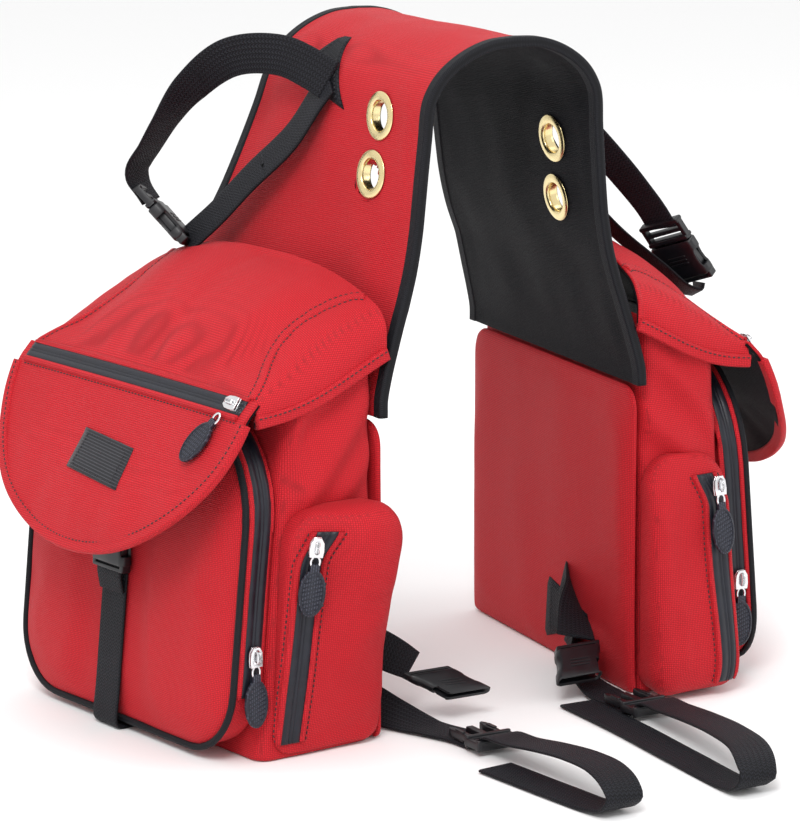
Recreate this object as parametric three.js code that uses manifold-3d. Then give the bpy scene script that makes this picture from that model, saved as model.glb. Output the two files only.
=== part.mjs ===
// A pair of trail saddlebags: two stuffed pouches that hang from one yoke of cloth.
// Millimetres, +Z up. X runs across the horse and Y along it. The side pockets face -Y.
// Each pouch is drawn in its own frame: u out from its back panel, v along it, z up.
import * as THREE from "three";
import { mergeVertices } from "three/addons/utils/BufferGeometryUtils.js";
import Module from "manifold-3d";

const wasm = await Module();
wasm.setup();

const gap = 0.3;
const backGap = 102;
const pouchShift = 12;
const toeIn = THREE.MathUtils.degToRad(6.7);
const zipLine = 218;
const depth = { bottom: 114, top: 92, frontPocket: 24 };
const backPanel = { thickness: 5, width: 228, height: 194, radius: 14 };
const compartment = { back: 6, halfWidth: 113, wall: 3, radius: 9, rimBack: 238, rimFront: 207 };
const frontPocket = { halfWidth: 110, bottom: 7, top: 203, bottomRadius: 38, topRadius: 62 };
const sidePocket = { back: 5, bottom: 3, top: 151, frontBottom: 82, frontTop: 75, radius: 16, base: 113.6 };
const piping = { radius: 2.2, offset: 2.6 };
const roof = { back: 258, halfWidth: 119, depth: 93, wall: 3.2, crown: 16, earBack: 27, earFront: 14 };
const lip = { halfWidth: 119, drop: 104, tilt: THREE.MathUtils.degToRad(27), thickness: 3.2 };
const webbing = { width: 25, thickness: 1.6 };
const closureOffset = 8;
const buckle = { width: 33, socket: 30, collar: 16, prong: 24, height: 9, wall: 1.7, plugHeight: 4.6 };
const plugSlot = { start: 3.8, length: 8.5, edge: 3.1 };
const slider = { length: 12, width: 8, height: 4 };
const pullTab = { length: 29, width: 16, neck: 7, neckWidth: 5, thickness: 2.6 };
const grommet = { outer: 15, hole: 8, barrel: 9.3, flange: 1.2, cut: 9.7, play: 2, line: -50 };
const yoke = { outer: [0.4, 2.6], lining: [-2.2, -0.4], steps: 24, across: 4 };
const loopRoot = { out: 54, along: 5 };
// Moves the origin to the middle of the base, measured without the girth straps.
const centring = [8.3, 6.65, 0];

const sides = [
  { name: "left", sign: -1, fill: 1, bulge: [3, 40], frontSwell: 0.5,
    grommets: [366, 331] },
  { name: "right", sign: 1, fill: 0.82, bulge: [34, 12], frontSwell: 0.85,
    grommets: [344, 307] },
];

// Tie-down loops: hand-laid routes, as offsets outward, along the saddle and height.
// The left loop stands away from the yoke; the right one lies closer and hangs over its flap.
const loopRoutes = {
  left: {
    plugEnd: [84, 105, 307],
    socketEnd: [64, 79, 275],
    facing: [-0.78, -0.63, 0],
    upperLeg: [[86, 104, 317], [80, 98, 333], [73, 91, 350], [63, 78, 371], [46, 57, 391], [26, 31, 394],
      [15, 12, 387], [9, 0, 380.8]],
    upperAcross: [[-0.9, 0.5, -0.2], [-0.9, 0.5, -0.2], [-0.9, 0.5, -0.4], [-0.6, 0.3, -0.8],
      [-0.2, 0.1, -1], [0.1, 0, -1], [0.4, 0.3, -0.85], [0.45, 0.4, -0.78]],
    lowerLeg: [[9, 0, 380.8], [13, 8, 370], [23, 22, 345], [38, 47, 318], [54, 66, 295]],
    lowerAcross: [0.3, -0.8, -0.52],
  },
  right: {
    plugEnd: [101, -35, 281],
    socketEnd: [126, -40, 243],
    facing: [0.73, 0.4, 0.43],
    upperLeg: [[96, -34, 289], [86, -30, 303], [74, -26, 318], [58, -20, 337], [42, -13, 354],
      [29, -8, 368], [19, -3, 378], [9, 0, 380.8]],
    upperAcross: [[0, 0.8, -0.5], [0, 0.8, -0.55], [0, 0.78, -0.62], [0, 0.75, -0.65],
      [0, 0.75, -0.65], [0.1, 0.75, -0.62], [0.25, 0.75, -0.58], [0.3, 0.75, -0.55]],
    lowerLeg: [[9, 0, 380.8], [16, -2, 369], [29, -7, 343], [48, -15, 309], [74, -25, 277], [102, -35, 252]],
    lowerAcross: [0.28, 0.85, -0.3],
  },
};

// Girth straps: hand-laid routes in the shared frame, from the back panel down to the floor.
// The first points lie against the panel, and the strap has turned level by the time it is clear.
const girthRoutes = {
  left: {
    shortLeg: [[-94, -24, 53], [-85, -42, 51], [-68, -60, 43], [-52, -74, 33]],
    longLeg: [[-94, -30, 25], [-86, -50, 17], [-72, -78, 8], [-60, -104, 3], [-50, -130, 2.2],
      [-47, -151.5, 2.2], [-47, -158, 6.6], [-47, -164.5, 11.4]],
    tail: [[-46, -186, 13], [-45, -215, 17], [-46, -250, 21], [-49, -280, 22], [-52, -298, 18],
      [-53, -304, 12], [-54, -299, 5.5], [-56, -284, 2], [-60, -250, 1.6], [-66, -190, 1.6]],
  },
  right: {
    shortLeg: [[95, -16, 56], [90, -34, 52], [78, -54, 43], [69, -70, 33]],
    longLeg: [[95, -24, 26], [88, -44, 17], [76, -70, 8], [72, -96, 3], [72, -118, 2.2],
      [72, -139.5, 2.2], [72, -146, 6.6], [72, -152.5, 11.4]],
    tail: [[70, -174, 13], [64, -210, 17], [55, -250, 21], [45, -286, 22], [37, -304, 18],
      [34, -310, 12], [33, -305, 5.5], [34, -290, 2], [39, -230, 1.6], [45, -165, 1.6], [48, -104, 1.6]],
  },
};

const colours = { red: 0xb3202b, black: 0x17181c, nickel: 0xb9bcc0, brass: 0xd8cd8c };
const finishes = {
  red: { roughness: 0.85, metalness: 0 },
  black: { roughness: 0.8, metalness: 0 },
  nickel: { roughness: 0.25, metalness: 1 },
  brass: { roughness: 0.3, metalness: 1 },
};

function vec(x, y, z) {
  return new THREE.Vector3(x, y, z);
}

function lerp(a, b, t) {
  return THREE.MathUtils.lerp(a, b, t);
}

function range(count, from = 0, to = 1) {
  return Array.from({ length: count }, (_, i) => lerp(from, to, i / (count - 1)));
}

// A closed triangle mesh, turned so that its faces point out.
function solid(points, triangles) {
  let volume = 0;
  for (const [a, b, c] of triangles) {
    volume += points[a].dot(points[b].clone().cross(points[c]));
  }
  const faces = volume < 0 ? triangles.map(([a, b, c]) => [a, c, b]) : triangles;
  const geometry = new THREE.BufferGeometry();
  const positions = points.flatMap((point) => point.toArray());
  geometry.setAttribute("position", new THREE.Float32BufferAttribute(positions, 3));
  geometry.setIndex(faces.flat());
  return geometry;
}

// Closes a ring with a strip of faces between its first and second halves.
function capFaces(count, start, forward) {
  const faces = [];
  for (let j = 0; j < count / 2 - 1; j += 1) {
    const quad = [j, j + 1, count - 2 - j, count - 1 - j].map((i) => start + i);
    const [p, q, r, t] = forward ? quad : quad.reverse();
    faces.push([p, q, r], [p, r, t]);
  }
  return faces;
}

// A solid through rings that have the same number of points, capped at its ends or joined up.
// A band's two faces are cut along the same diagonal, so a twisted band keeps its thickness.
function loft(rings, joined = false) {
  const count = rings[0].length;
  const triangles = [];
  const bands = joined ? rings.length : rings.length - 1;
  for (let i = 0; i < bands; i += 1) {
    const here = i * count;
    const next = ((i + 1) % rings.length) * count;
    for (let j = 0; j < count; j += 1) {
      const k = (j + 1) % count;
      if (count === 4 && j > 1) {
        triangles.push([here + j, here + k, next + j], [here + k, next + k, next + j]);
      } else {
        triangles.push([here + j, here + k, next + k], [here + j, next + k, next + j]);
      }
    }
  }
  if (!joined) {
    triangles.push(...capFaces(count, 0, false), ...capFaces(count, bands * count, true));
  }
  return solid(rings.flat(), triangles);
}

// A section carried along a route. Each route point has its own direction across.
function sweep(route, across, section, joined = false) {
  const last = route.length - 1;
  const rings = route.map((point, i) => {
    const before = joined ? route[(i + last) % route.length] : route[Math.max(i - 1, 0)];
    const after = joined ? route[(i + 1) % route.length] : route[Math.min(i + 1, last)];
    const tangent = after.clone().sub(before).normalize();
    const side = across[i].clone().addScaledVector(tangent, -across[i].dot(tangent)).normalize();
    const normal = tangent.clone().cross(side);
    return section.map(([a, n]) => point.clone().addScaledVector(side, a).addScaledVector(normal, n));
  });
  return loft(rings, joined);
}

function bandSection(width, thickness) {
  const [a, n] = [width / 2, thickness / 2];
  return [[-a, -n], [a, -n], [a, n], [-a, n]];
}

function roundSection(radius, corners = 8) {
  return range(corners + 1, 0, 2 * Math.PI).slice(0, corners).map((angle) => [
    radius * Math.cos(angle), radius * Math.sin(angle)]);
}

function strap(points, across, steps, width = webbing.width) {
  const route = new THREE.CatmullRomCurve3(points).getPoints(steps);
  const directions = new THREE.CatmullRomCurve3(across).getPoints(steps);
  return sweep(route, directions, bandSection(width, webbing.thickness));
}

// Corner points of a rectangle [low, high] x [low, high]; each corner has its own radius.
function roundedRectangle([left, right], [bottom, top], radii, segments = 4) {
  const corners = [[right, top, 0], [left, top, 1], [left, bottom, 2], [right, bottom, 3]];
  return corners.flatMap(([x, y, quarter]) => {
    const radius = radii[quarter];
    const cx = x + (quarter === 0 || quarter === 3 ? -radius : radius);
    const cy = y + (quarter < 2 ? -radius : radius);
    return range(segments + 1, 0, Math.PI / 2).map((angle) => {
      const turn = angle + (quarter * Math.PI) / 2;
      return [cx + radius * Math.cos(turn), cy + radius * Math.sin(turn)];
    });
  });
}

// A flat outline given thickness: x and y of the outline lie along two directions from an origin.
function plate(outline, holes, thickness, origin, xAxis, yAxis) {
  const shape = new THREE.Shape(outline.map(([x, y]) => new THREE.Vector2(x, y)));
  shape.holes = holes.map((hole) => new THREE.Path(hole.map(([x, y]) => new THREE.Vector2(x, y))));
  const options = { depth: thickness, bevelEnabled: false, curveSegments: 8 };
  const geometry = new THREE.ExtrudeGeometry(shape, options);
  geometry.translate(0, 0, -thickness / 2);
  const [x, y] = [xAxis.clone().normalize(), yAxis.clone().normalize()];
  geometry.applyMatrix4(new THREE.Matrix4().makeBasis(x, y, x.clone().cross(y)));
  geometry.translate(origin.x, origin.y, origin.z);
  return geometry;
}

function bare(geometry) {
  const plain = geometry.clone();
  plain.deleteAttribute("normal");
  plain.deleteAttribute("uv");
  return mergeVertices(plain, 1e-4);
}

function mirrored(geometry) {
  const plain = bare(geometry);
  plain.applyMatrix4(new THREE.Matrix4().makeScale(-1, 1, 1));
  const order = plain.index.array;
  for (let i = 0; i < order.length; i += 3) {
    [order[i], order[i + 1]] = [order[i + 1], order[i]];
  }
  return plain;
}

function toManifold(geometry) {
  const plain = bare(geometry);
  const mesh = new wasm.Mesh({
    numProp: 3,
    vertProperties: new Float32Array(plain.attributes.position.array),
    triVerts: new Uint32Array(plain.index.array),
  });
  return new wasm.Manifold(mesh);
}

function fromManifold(body) {
  const mesh = body.getMesh();
  const result = new THREE.BufferGeometry();
  result.setAttribute("position", new THREE.Float32BufferAttribute(mesh.vertProperties, 3));
  result.setIndex(Array.from(mesh.triVerts));
  return result;
}

function cut(geometry, tools) {
  return fromManifold(tools.reduce((left, tool) => left.subtract(toManifold(tool)), toManifold(geometry)));
}

function joined(first, second) {
  return fromManifold(toManifold(first).add(toManifold(second)));
}

function piece(parent, name, geometry, finish) {
  const material = new THREE.MeshStandardMaterial({ color: colours[finish], ...finishes[finish] });
  const mesh = new THREE.Mesh(geometry, material);
  mesh.name = name;
  parent.add(mesh);
}

function depthAt(side, z) {
  return side.fill * lerp(depth.bottom, depth.top, z / zipLine);
}

function mainDepth(side, z) {
  return depthAt(side, z) - side.fill * depth.frontPocket;
}

// Distance out from the back panel at a share of the front pocket's thickness.
function frontAt(side, z, share) {
  return mainDepth(side, z) + 2 * gap + side.fill * depth.frontPocket * share;
}

function makeBackPanel() {
  const { thickness, width, height, radius } = backPanel;
  const outline = roundedRectangle([-width / 2, width / 2], [0, height], [2, 2, radius, radius]);
  return plate(outline, [], thickness, vec(thickness / 2, 0, 0), vec(0, 1, 0), vec(0, 0, 1));
}

// An open bag: up the outside, over a sloping rim and down the inside to its floor.
function makeCompartment(side) {
  const { back, halfWidth, wall, radius, rimBack, rimFront } = compartment;
  const level = (share, inset) => {
    const front = mainDepth(side, share * rimFront);
    const span = [back + inset, front - inset];
    const corner = Math.max(radius - inset, 2);
    const outline = roundedRectangle(span, [inset - halfWidth, halfWidth - inset], Array(4).fill(corner), 3);
    return outline.map(([u, v]) => vec(u, v, share * lerp(rimBack, rimFront, (u - back) / (front - back))));
  };
  const outside = [[0, 6], [0.03, 0], [0.3, 0], [0.6, 0], [1, 0]];
  const inside = [[1, wall], [0.6, wall], [0.3, wall], [0.03, wall], [0.015, wall + 4]];
  return loft([...outside, ...inside].map(([share, inset]) => level(share, inset)));
}

function frontOutline(inset, segments = 5) {
  const { halfWidth, bottom, top, bottomRadius, topRadius } = frontPocket;
  const radii = [topRadius, topRadius, bottomRadius, bottomRadius].map((radius) => radius - inset);
  const across = [inset - halfWidth, halfWidth - inset];
  return roundedRectangle(across, [bottom + inset, top - inset], radii, segments);
}

function makeFrontPocket(side) {
  const swell = [[0, 2], [0.1, 0], [0.86, 0], [0.97, 5], [1.04, 16], [1.08, 32]];
  const ring = ([share, inset]) => frontOutline(inset).map(([v, z]) => vec(frontAt(side, z, share), v, z));
  return loft(swell.map(ring));
}

function makeFrontPiping(side) {
  const route = frontOutline(-piping.offset).map(([v, z]) => vec(frontAt(side, z, 0.86), v, z));
  return sweep(route, route.map(() => vec(1, 0, 0)), roundSection(piping.radius, 6), true);
}

// The zip runs up one side of the front pocket, over its arched top and down the other side.
function makeFrontZip(side) {
  const lowEnd = 42;
  const outline = frontOutline(-1.4);
  const onSide = outline.map(([v, z]) => vec(frontAt(side, z, 0.4), v, z));
  const points = onSide.filter((point) => point.z > lowEnd + 4);
  const rise = (point) => Math.atan2(point.y, point.z - lowEnd);
  points.sort((a, b) => rise(a) - rise(b));
  const end = (point) => vec(frontAt(side, lowEnd, 0.4), point.y, lowEnd);
  const route = [end(points[0]), ...points, end(points[points.length - 1])];
  return sweep(route, route.map(() => vec(1, 0, 0)), bandSection(14 * side.fill, 1.8));
}

function bulgeAt(side, z) {
  return lerp(side.bulge[0], side.bulge[1], THREE.MathUtils.clamp(z / sidePocket.top, 0, 1));
}

// The pocket swells less towards its front edge.
function swellAt(side, u) {
  return lerp(1, side.frontSwell, THREE.MathUtils.smoothstep(u, 30, 72));
}

function sidePocketFront(side, z) {
  return side.fill * lerp(sidePocket.frontBottom, sidePocket.frontTop, z / sidePocket.top);
}

function makeSidePocket(side) {
  const { back, bottom, top, radius, base } = sidePocket;
  const ring = ([share, inset]) => {
    const corner = Math.max(radius - inset, 3);
    const width = sidePocketFront(side, 0) - back - 2 * inset;
    const points = roundedRectangle([0, width], [bottom + inset, top - inset], Array(4).fill(corner), 4);
    return points.map(([x, z]) => {
      const taper = (sidePocketFront(side, z) - back - 2 * inset) / width;
      const u = back + inset + x * taper;
      return vec(u, -(base + share * bulgeAt(side, z) * swellAt(side, u)), z);
    });
  };
  return loft([[0, 1], [0.1, 0], [0.6, 0], [0.85, 3], [0.97, 8], [1.02, 16]].map(ring));
}

// The zip lies on the pocket's face, just behind its front edge, and turns with the face there.
function sideZipSeat(side, z) {
  const onFace = (inset, share) => {
    const u = sidePocketFront(side, z) - inset;
    return vec(u, -(sidePocket.base + share * bulgeAt(side, z) * swellAt(side, u)), z);
  };
  const inner = onFace(16, 1.02);
  const outer = onFace(8, 0.97);
  const across = outer.clone().sub(inner).normalize();
  const normal = vec(across.y, -across.x, 0);
  const point = inner.lerp(outer, 0.5).addScaledVector(normal, 2.6);
  return { point, across, normal };
}

function makeSideZip(side) {
  const seats = range(9, 14, 138).map((z) => sideZipSeat(side, z));
  return sweep(seats.map(({ point }) => point), seats.map(({ across }) => across), bandSection(10, 1.6));
}

// The roof of the flap and its two ears: a channel that slopes down to the zip line.
function makeFlapRoof(side) {
  const { back, halfWidth, wall, crown, earBack, earFront } = roof;
  const length = roof.depth * side.fill;
  const rings = range(6).map((share) => {
    const u = lerp(1, length, share);
    const seam = lerp(back, zipLine, share);
    const ear = seam - lerp(earBack, earFront, share);
    const rise = crown * (1 - share * share) + 1.5;
    const arc = (inset) => range(11, -1, 1).map((t) => {
      const height = seam - inset + rise * (1 - t * t);
      return vec(u, t * (halfWidth - inset), height);
    });
    const outer = [vec(u, -halfWidth, ear), ...arc(0), vec(u, halfWidth, ear)];
    const inner = [vec(u, wall - halfWidth, ear), ...arc(wall), vec(u, halfWidth - wall, ear)];
    return [...outer, ...inner.reverse()];
  });
  return loft(rings);
}

const zipSlope = THREE.MathUtils.degToRad(35);
const zipDrop = vec(Math.sin(zipSlope), 0, -Math.cos(zipSlope));
const lipDrop = vec(Math.sin(lip.tilt), 0, -Math.cos(lip.tilt));
const lipNormal = vec(Math.cos(lip.tilt), 0, Math.sin(lip.tilt));

function flapZipCentre(side) {
  return vec(roof.depth * side.fill + 4.8, 0, 213.6);
}

function lipTop(side) {
  return vec(roof.depth * side.fill + 9.2, 0, 207.4);
}

function makeFlapLip(side) {
  const bow = range(21, 0, Math.PI).map((angle) => [
    lip.halfWidth * Math.cos(angle), -8 - (lip.drop - 8) * Math.sin(angle)]);
  const outline = [[-lip.halfWidth, 0], ...bow.reverse(), [lip.halfWidth, 0]];
  return plate(outline, [], lip.thickness, lipTop(side), vec(0, 1, 0), lipDrop.clone().negate());
}

function makeFlapZip(side) {
  const outline = roundedRectangle([-112, 112], [-5.5, 5.5], Array(4).fill(1), 1);
  return plate(outline, [], 2, flapZipCentre(side), vec(0, 1, 0), zipDrop.clone().negate());
}

function makeSlider(origin, travel, normal) {
  const { length, width, height } = slider;
  const outline = [[-width / 2, -length / 2], [width / 2, -length / 2], [width / 2, length / 4],
    [width / 4, length / 2], [-width / 4, length / 2], [-width / 2, length / 4]];
  return plate(outline, [], height, origin, travel.clone().cross(normal), travel);
}

// An oval tab on a narrow neck. Its origin is the neck's free end.
function makePull(origin, hang, normal) {
  const { length, width, neck, neckWidth, thickness } = pullTab;
  const centre = neck + length / 2;
  const from = Math.asin(neckWidth / width);
  const oval = range(17, from, 2 * Math.PI - from).map((angle) => [
    (width / 2) * Math.sin(angle), centre - (length / 2) * Math.cos(angle)]);
  const outline = [[-neckWidth / 2, 0], [neckWidth / 2, 0], ...oval];
  return plate(outline, [], thickness, origin, hang.clone().cross(normal).negate(), hang);
}

function addZipPull(parent, name, place, travel, hang, normal, lift = 0) {
  const seat = place.clone().addScaledVector(normal, 1 + gap + slider.height / 2);
  piece(parent, `${name}_slider`, makeSlider(seat, travel, normal), "nickel");
  const start = seat.clone().addScaledVector(normal, lift);
  const reach = Math.abs(hang.dot(travel)) > 0.9 ? slider.length / 2 : slider.width / 2 + 2;
  piece(parent, `${name}_pull`, makePull(start.addScaledVector(hang, reach + 0.6), hang, normal), "black");
}

// A sleeve with its mouth up, and a plug whose prongs sit in it. Both lie along one axis.
function makeSocket(mouth, axis, across) {
  const { width, socket, height, wall } = buckle;
  const outer = roundedRectangle([-width / 2, width / 2], [-height / 2, height / 2], Array(4).fill(3), 2);
  const corners = [[-1, -1], [1, -1], [1, 1], [-1, 1]];
  const inner = corners.map(([a, b]) => [a * (width / 2 - 2.6), b * (height / 2 - wall)]);
  const centre = mouth.clone().addScaledVector(axis, -socket / 2);
  return plate(outer, [inner], socket, centre, across, axis.clone().cross(across));
}

function makePlug(mouth, axis, across) {
  const { width, collar, prong, plugHeight } = buckle;
  const half = width / 2 - 3.2;
  const edge = width / 2 - 1;
  const rightHalf = [[2.5, 3 - prong], [2.5, 0], [half - 5, 0], [half - 6, 3 - prong], [half - 3, -prong],
    [half, 4 - prong], [half, gap], [edge, gap], [edge, collar]];
  const outline = [...rightHalf, ...[...rightHalf].reverse().map(([x, y]) => [-x, y])];
  const reach = width / 2 - plugSlot.edge;
  const slotEnd = plugSlot.start + plugSlot.length;
  const slot = [[-reach, plugSlot.start], [reach, plugSlot.start], [reach, slotEnd], [-reach, slotEnd]];
  return plate(outline, [slot], plugHeight, mouth, across, axis);
}

function addClosure(parent, side) {
  const width = vec(0, 1, 0);
  const skin = webbing.thickness / 2 + 2 * gap;
  const face = (z) => frontAt(side, z, 1.08) + skin;
  const route = [[face(94), 94], [face(50), 50], [face(22), 22], [face(12) + 0.5, 11], [face(6), 4.5],
    [face(4) - 2.6, 1.5], [depthAt(side, 0) - 8, 1.1], [mainDepth(side, 0) + 3, 1.1],
  ].map(([u, z]) => vec(u, closureOffset, z));
  const band = bandSection(webbing.width, webbing.thickness);
  piece(parent, `${side.name}_closure_webbing`, sweep(route, route.map(() => width), band), "black");
  const mouth = vec(frontAt(side, 127, 1.08) + 2 * gap + buckle.height / 2, closureOffset, 127);
  const up = vec(frontAt(side, 1, 0) - frontAt(side, 0, 0), 0, 1).normalize();
  piece(parent, `${side.name}_closure_socket`, makeSocket(mouth, up, width), "black");
  piece(parent, `${side.name}_closure_plug`, makePlug(mouth, up, width), "black");
}

function addFlap(parent, side) {
  piece(parent, `${side.name}_flap_roof`, makeFlapRoof(side), "red");
  piece(parent, `${side.name}_flap_lip`, makeFlapLip(side), "red");
  piece(parent, `${side.name}_flap_zip`, makeFlapZip(side), "black");
  const normal = vec(Math.cos(zipSlope), 0, Math.sin(zipSlope));
  const place = flapZipCentre(side).add(vec(0, -102, 0));
  place.addScaledVector(normal, 1 + gap + slider.height / 2);
  piece(parent, `${side.name}_flap_slider`, makeSlider(place, vec(0, 1, 0), normal), "nickel");
  const hang = vec(0, 0.52, 0).addScaledVector(lipDrop, 0.85).normalize();
  const start = lipTop(side).add(vec(0, -99, 0)).addScaledVector(lipNormal, lip.thickness / 2 + 3.4);
  start.addScaledVector(lipDrop, 1.5);
  piece(parent, `${side.name}_flap_pull`, makePull(start, hang, lipNormal), "black");
}

function addPouch(root, side) {
  const drawn = new THREE.Group();
  piece(drawn, `${side.name}_back_panel`, makeBackPanel(), "red");
  piece(drawn, `${side.name}_main_compartment`, makeCompartment(side), "red");
  piece(drawn, `${side.name}_front_pocket`, makeFrontPocket(side), "red");
  piece(drawn, `${side.name}_front_piping`, makeFrontPiping(side), "black");
  piece(drawn, `${side.name}_front_zip`, makeFrontZip(side), "black");
  piece(drawn, `${side.name}_side_pocket`, makeSidePocket(side), "red");
  piece(drawn, `${side.name}_side_zip`, makeSideZip(side), "black");
  addFlap(drawn, side);
  addClosure(drawn, side);
  const down = vec(0, 0, -1);
  const frontPlace = vec(frontAt(side, 66, 0.4), -frontPocket.halfWidth - 1.4, 66);
  addZipPull(drawn, `${side.name}_front`, frontPlace, vec(0, 0, 1), down, vec(0, -1, 0));
  const high = sideZipSeat(side, 132);
  const travel = sideZipSeat(side, 40).point.sub(high.point).normalize();
  const facing = high.normal.addScaledVector(travel, -high.normal.dot(travel)).normalize();
  addZipPull(drawn, `${side.name}_side`, high.point, travel.clone().negate(), travel, facing);
  const pouch = new THREE.Group();
  pouch.position.set(side.sign * backGap, pouchShift, 0);
  pouch.rotation.z = -side.sign * toeIn;
  for (const mesh of [...drawn.children]) {
    if (side.sign < 0) {
      mesh.geometry = mirrored(mesh.geometry);
    }
    pouch.add(mesh);
  }
  root.add(pouch);
}

// The yoke's middle line at its right side: distance from the middle of the horse, and height.
const yokeLine = [[104.8, 196.5], [104.4, 206], [101, 220], [96, 236], [89, 257], [80, 280], [73.5, 302],
  [70, 318], [66, 338], [62, 358], [58, 378], [50, 392], [36, 403], [18, 410], [0, 411.5]];
const yokeProfile = new THREE.CatmullRomCurve3(yokeLine.map(([x, z]) => vec(x, 0, z)));

function yokeFrame(share) {
  const sign = share < 0.5 ? -1 : 1;
  const along = 1 - Math.abs(2 * share - 1);
  const point = yokeProfile.getPointAt(along);
  const tangent = yokeProfile.getTangentAt(along);
  const normal = vec(tangent.z, 0, -tangent.x);
  return { sign, point, normal };
}

// Half of the pouches' turn fades out as the cloth climbs to the ridge.
function yokePoint(share, across, offset) {
  const { sign, point, normal } = yokeFrame(share);
  const weight = THREE.MathUtils.clamp((380 - point.z) / 120, 0, 1);
  const near = -102 + 4 * Math.sin(Math.PI * THREE.MathUtils.clamp((point.z - 200) / 210, 0, 1));
  const far = lerp(126, 80, THREE.MathUtils.smoothstep(point.z, 190, 420));
  const y = lerp(near, far, across);
  const toe = weight * (y - pouchShift) * Math.tan(toeIn);
  const x = point.x + toe * (point.x > 1 ? 1 : 0) + offset * normal.x;
  return vec(sign * x, y, point.z + offset * normal.z);
}

function makeSheet([low, high]) {
  const across = range(yoke.across);
  const rings = range(2 * yoke.steps + 1).map((share) => [
    ...across.map((t) => yokePoint(share, t, high)),
    ...[...across].reverse().map((t) => yokePoint(share, t, low)),
  ]);
  return loft(rings);
}

// Where a grommet sits: a point on the yoke's middle surface and the direction square to the cloth.
function grommetSeat(side, z) {
  const shares = range(400, side.sign < 0 ? 0 : 1, 0.5);
  const share = shares.find((s) => yokeFrame(s).point.z >= z);
  const across = (grommet.line + 98) / 196;
  const centre = yokePoint(share, across, 0);
  const step = 0.01;
  const climb = yokePoint(share + step, across, 0).sub(yokePoint(share - step, across, 0));
  const along = yokePoint(share, across + step, 0).sub(yokePoint(share, across - step, 0));
  const axis = climb.cross(along).normalize();
  axis.multiplyScalar(Math.sign(axis.x) * side.sign);
  return { centre, axis };
}

function alongAxis(geometry, { centre, axis }) {
  const turn = new THREE.Quaternion().setFromUnitVectors(vec(0, 1, 0), axis);
  return geometry.applyQuaternion(turn).translate(centre.x, centre.y, centre.z);
}

function makeGrommet(seat) {
  const { outer, hole, barrel, flange } = grommet;
  const [low, high] = [yoke.lining[0] - grommet.play, yoke.outer[1] + grommet.play];
  const profile = [[hole, low - flange], [outer, low - flange], [outer, low], [barrel, low], [barrel, high],
    [outer, high], [outer, high + flange], [hole, high + flange], [hole, low - flange]];
  const ring = new THREE.LatheGeometry(profile.map(([x, y]) => new THREE.Vector2(x, y)), 24);
  return alongAxis(solidLathe(ring), seat);
}

function solidLathe(geometry) {
  const plain = bare(geometry);
  const points = range(plain.attributes.position.count, 0, plain.attributes.position.count - 1)
    .map((i) => vec(0, 0, 0).fromBufferAttribute(plain.attributes.position, Math.round(i)));
  const triangles = [];
  for (let i = 0; i < plain.index.count; i += 3) {
    triangles.push([...plain.index.array.slice(i, i + 3)]);
  }
  return solid(points, triangles);
}

function makeBinding(end) {
  const shares = range(2 * yoke.steps + 1);
  const outward = end === 0 ? -1 : 1;
  const route = shares.map((share) => yokePoint(share, end, 0.3).add(vec(0, outward * 3, 0)));
  return sweep(route, route.map(() => vec(0, 1, 0)), bandSection(5, 5.4));
}

function addYoke(root) {
  const seats = sides.flatMap((side) => side.grommets.map((z) => ({ side, ...grommetSeat(side, z) })));
  const rod = () => new THREE.CylinderGeometry(grommet.cut, grommet.cut, 30, 24);
  const punch = () => seats.map((seat) => alongAxis(rod(), seat));
  piece(root, "yoke_outer", cut(makeSheet(yoke.outer), punch()), "red");
  piece(root, "yoke_lining", cut(makeSheet(yoke.lining), punch()), "black");
  piece(root, "near_binding", makeBinding(0), "black");
  piece(root, "far_binding", makeBinding(1), "black");
  seats.forEach((seat, i) => {
    const level = i % 2 === 0 ? "upper" : "lower";
    piece(root, `${seat.side.name}_${level}_grommet`, makeGrommet(seat), "brass");
  });
}

// The tie-down loop: one webbing from plug to root to socket. Offsets are outward, along and height.
function addLoop(root, side) {
  const route = loopRoutes[side.name];
  const place = ([out, along, z]) => vec(side.sign * (loopRoot.out + out), loopRoot.along + along, z);
  const turned = ([out, along, z]) => vec(side.sign * out, along, z);
  const plugEnd = place(route.plugEnd);
  const socketEnd = place(route.socketEnd);
  const axis = plugEnd.clone().sub(socketEnd).normalize();
  const middle = plugEnd.clone().add(socketEnd).multiplyScalar(0.5);
  const half = (buckle.socket + buckle.collar) / 2;
  const mouth = middle.clone().addScaledVector(axis, buckle.socket - half);
  const upper = strap(route.upperLeg.map(place), route.upperAcross.map(turned), 22);
  const lowerAcross = route.lowerLeg.map(() => turned(route.lowerAcross));
  const lower = strap(route.lowerLeg.map(place), lowerAcross, 12);
  piece(root, `${side.name}_loop_webbing`, joined(upper, lower), "black");
  const wide = axis.clone().cross(turned(route.facing)).normalize();
  piece(root, `${side.name}_loop_socket`, makeSocket(mouth, axis, wide), "black");
  piece(root, `${side.name}_loop_plug`, makePlug(mouth, axis, wide), "black");
}

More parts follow.
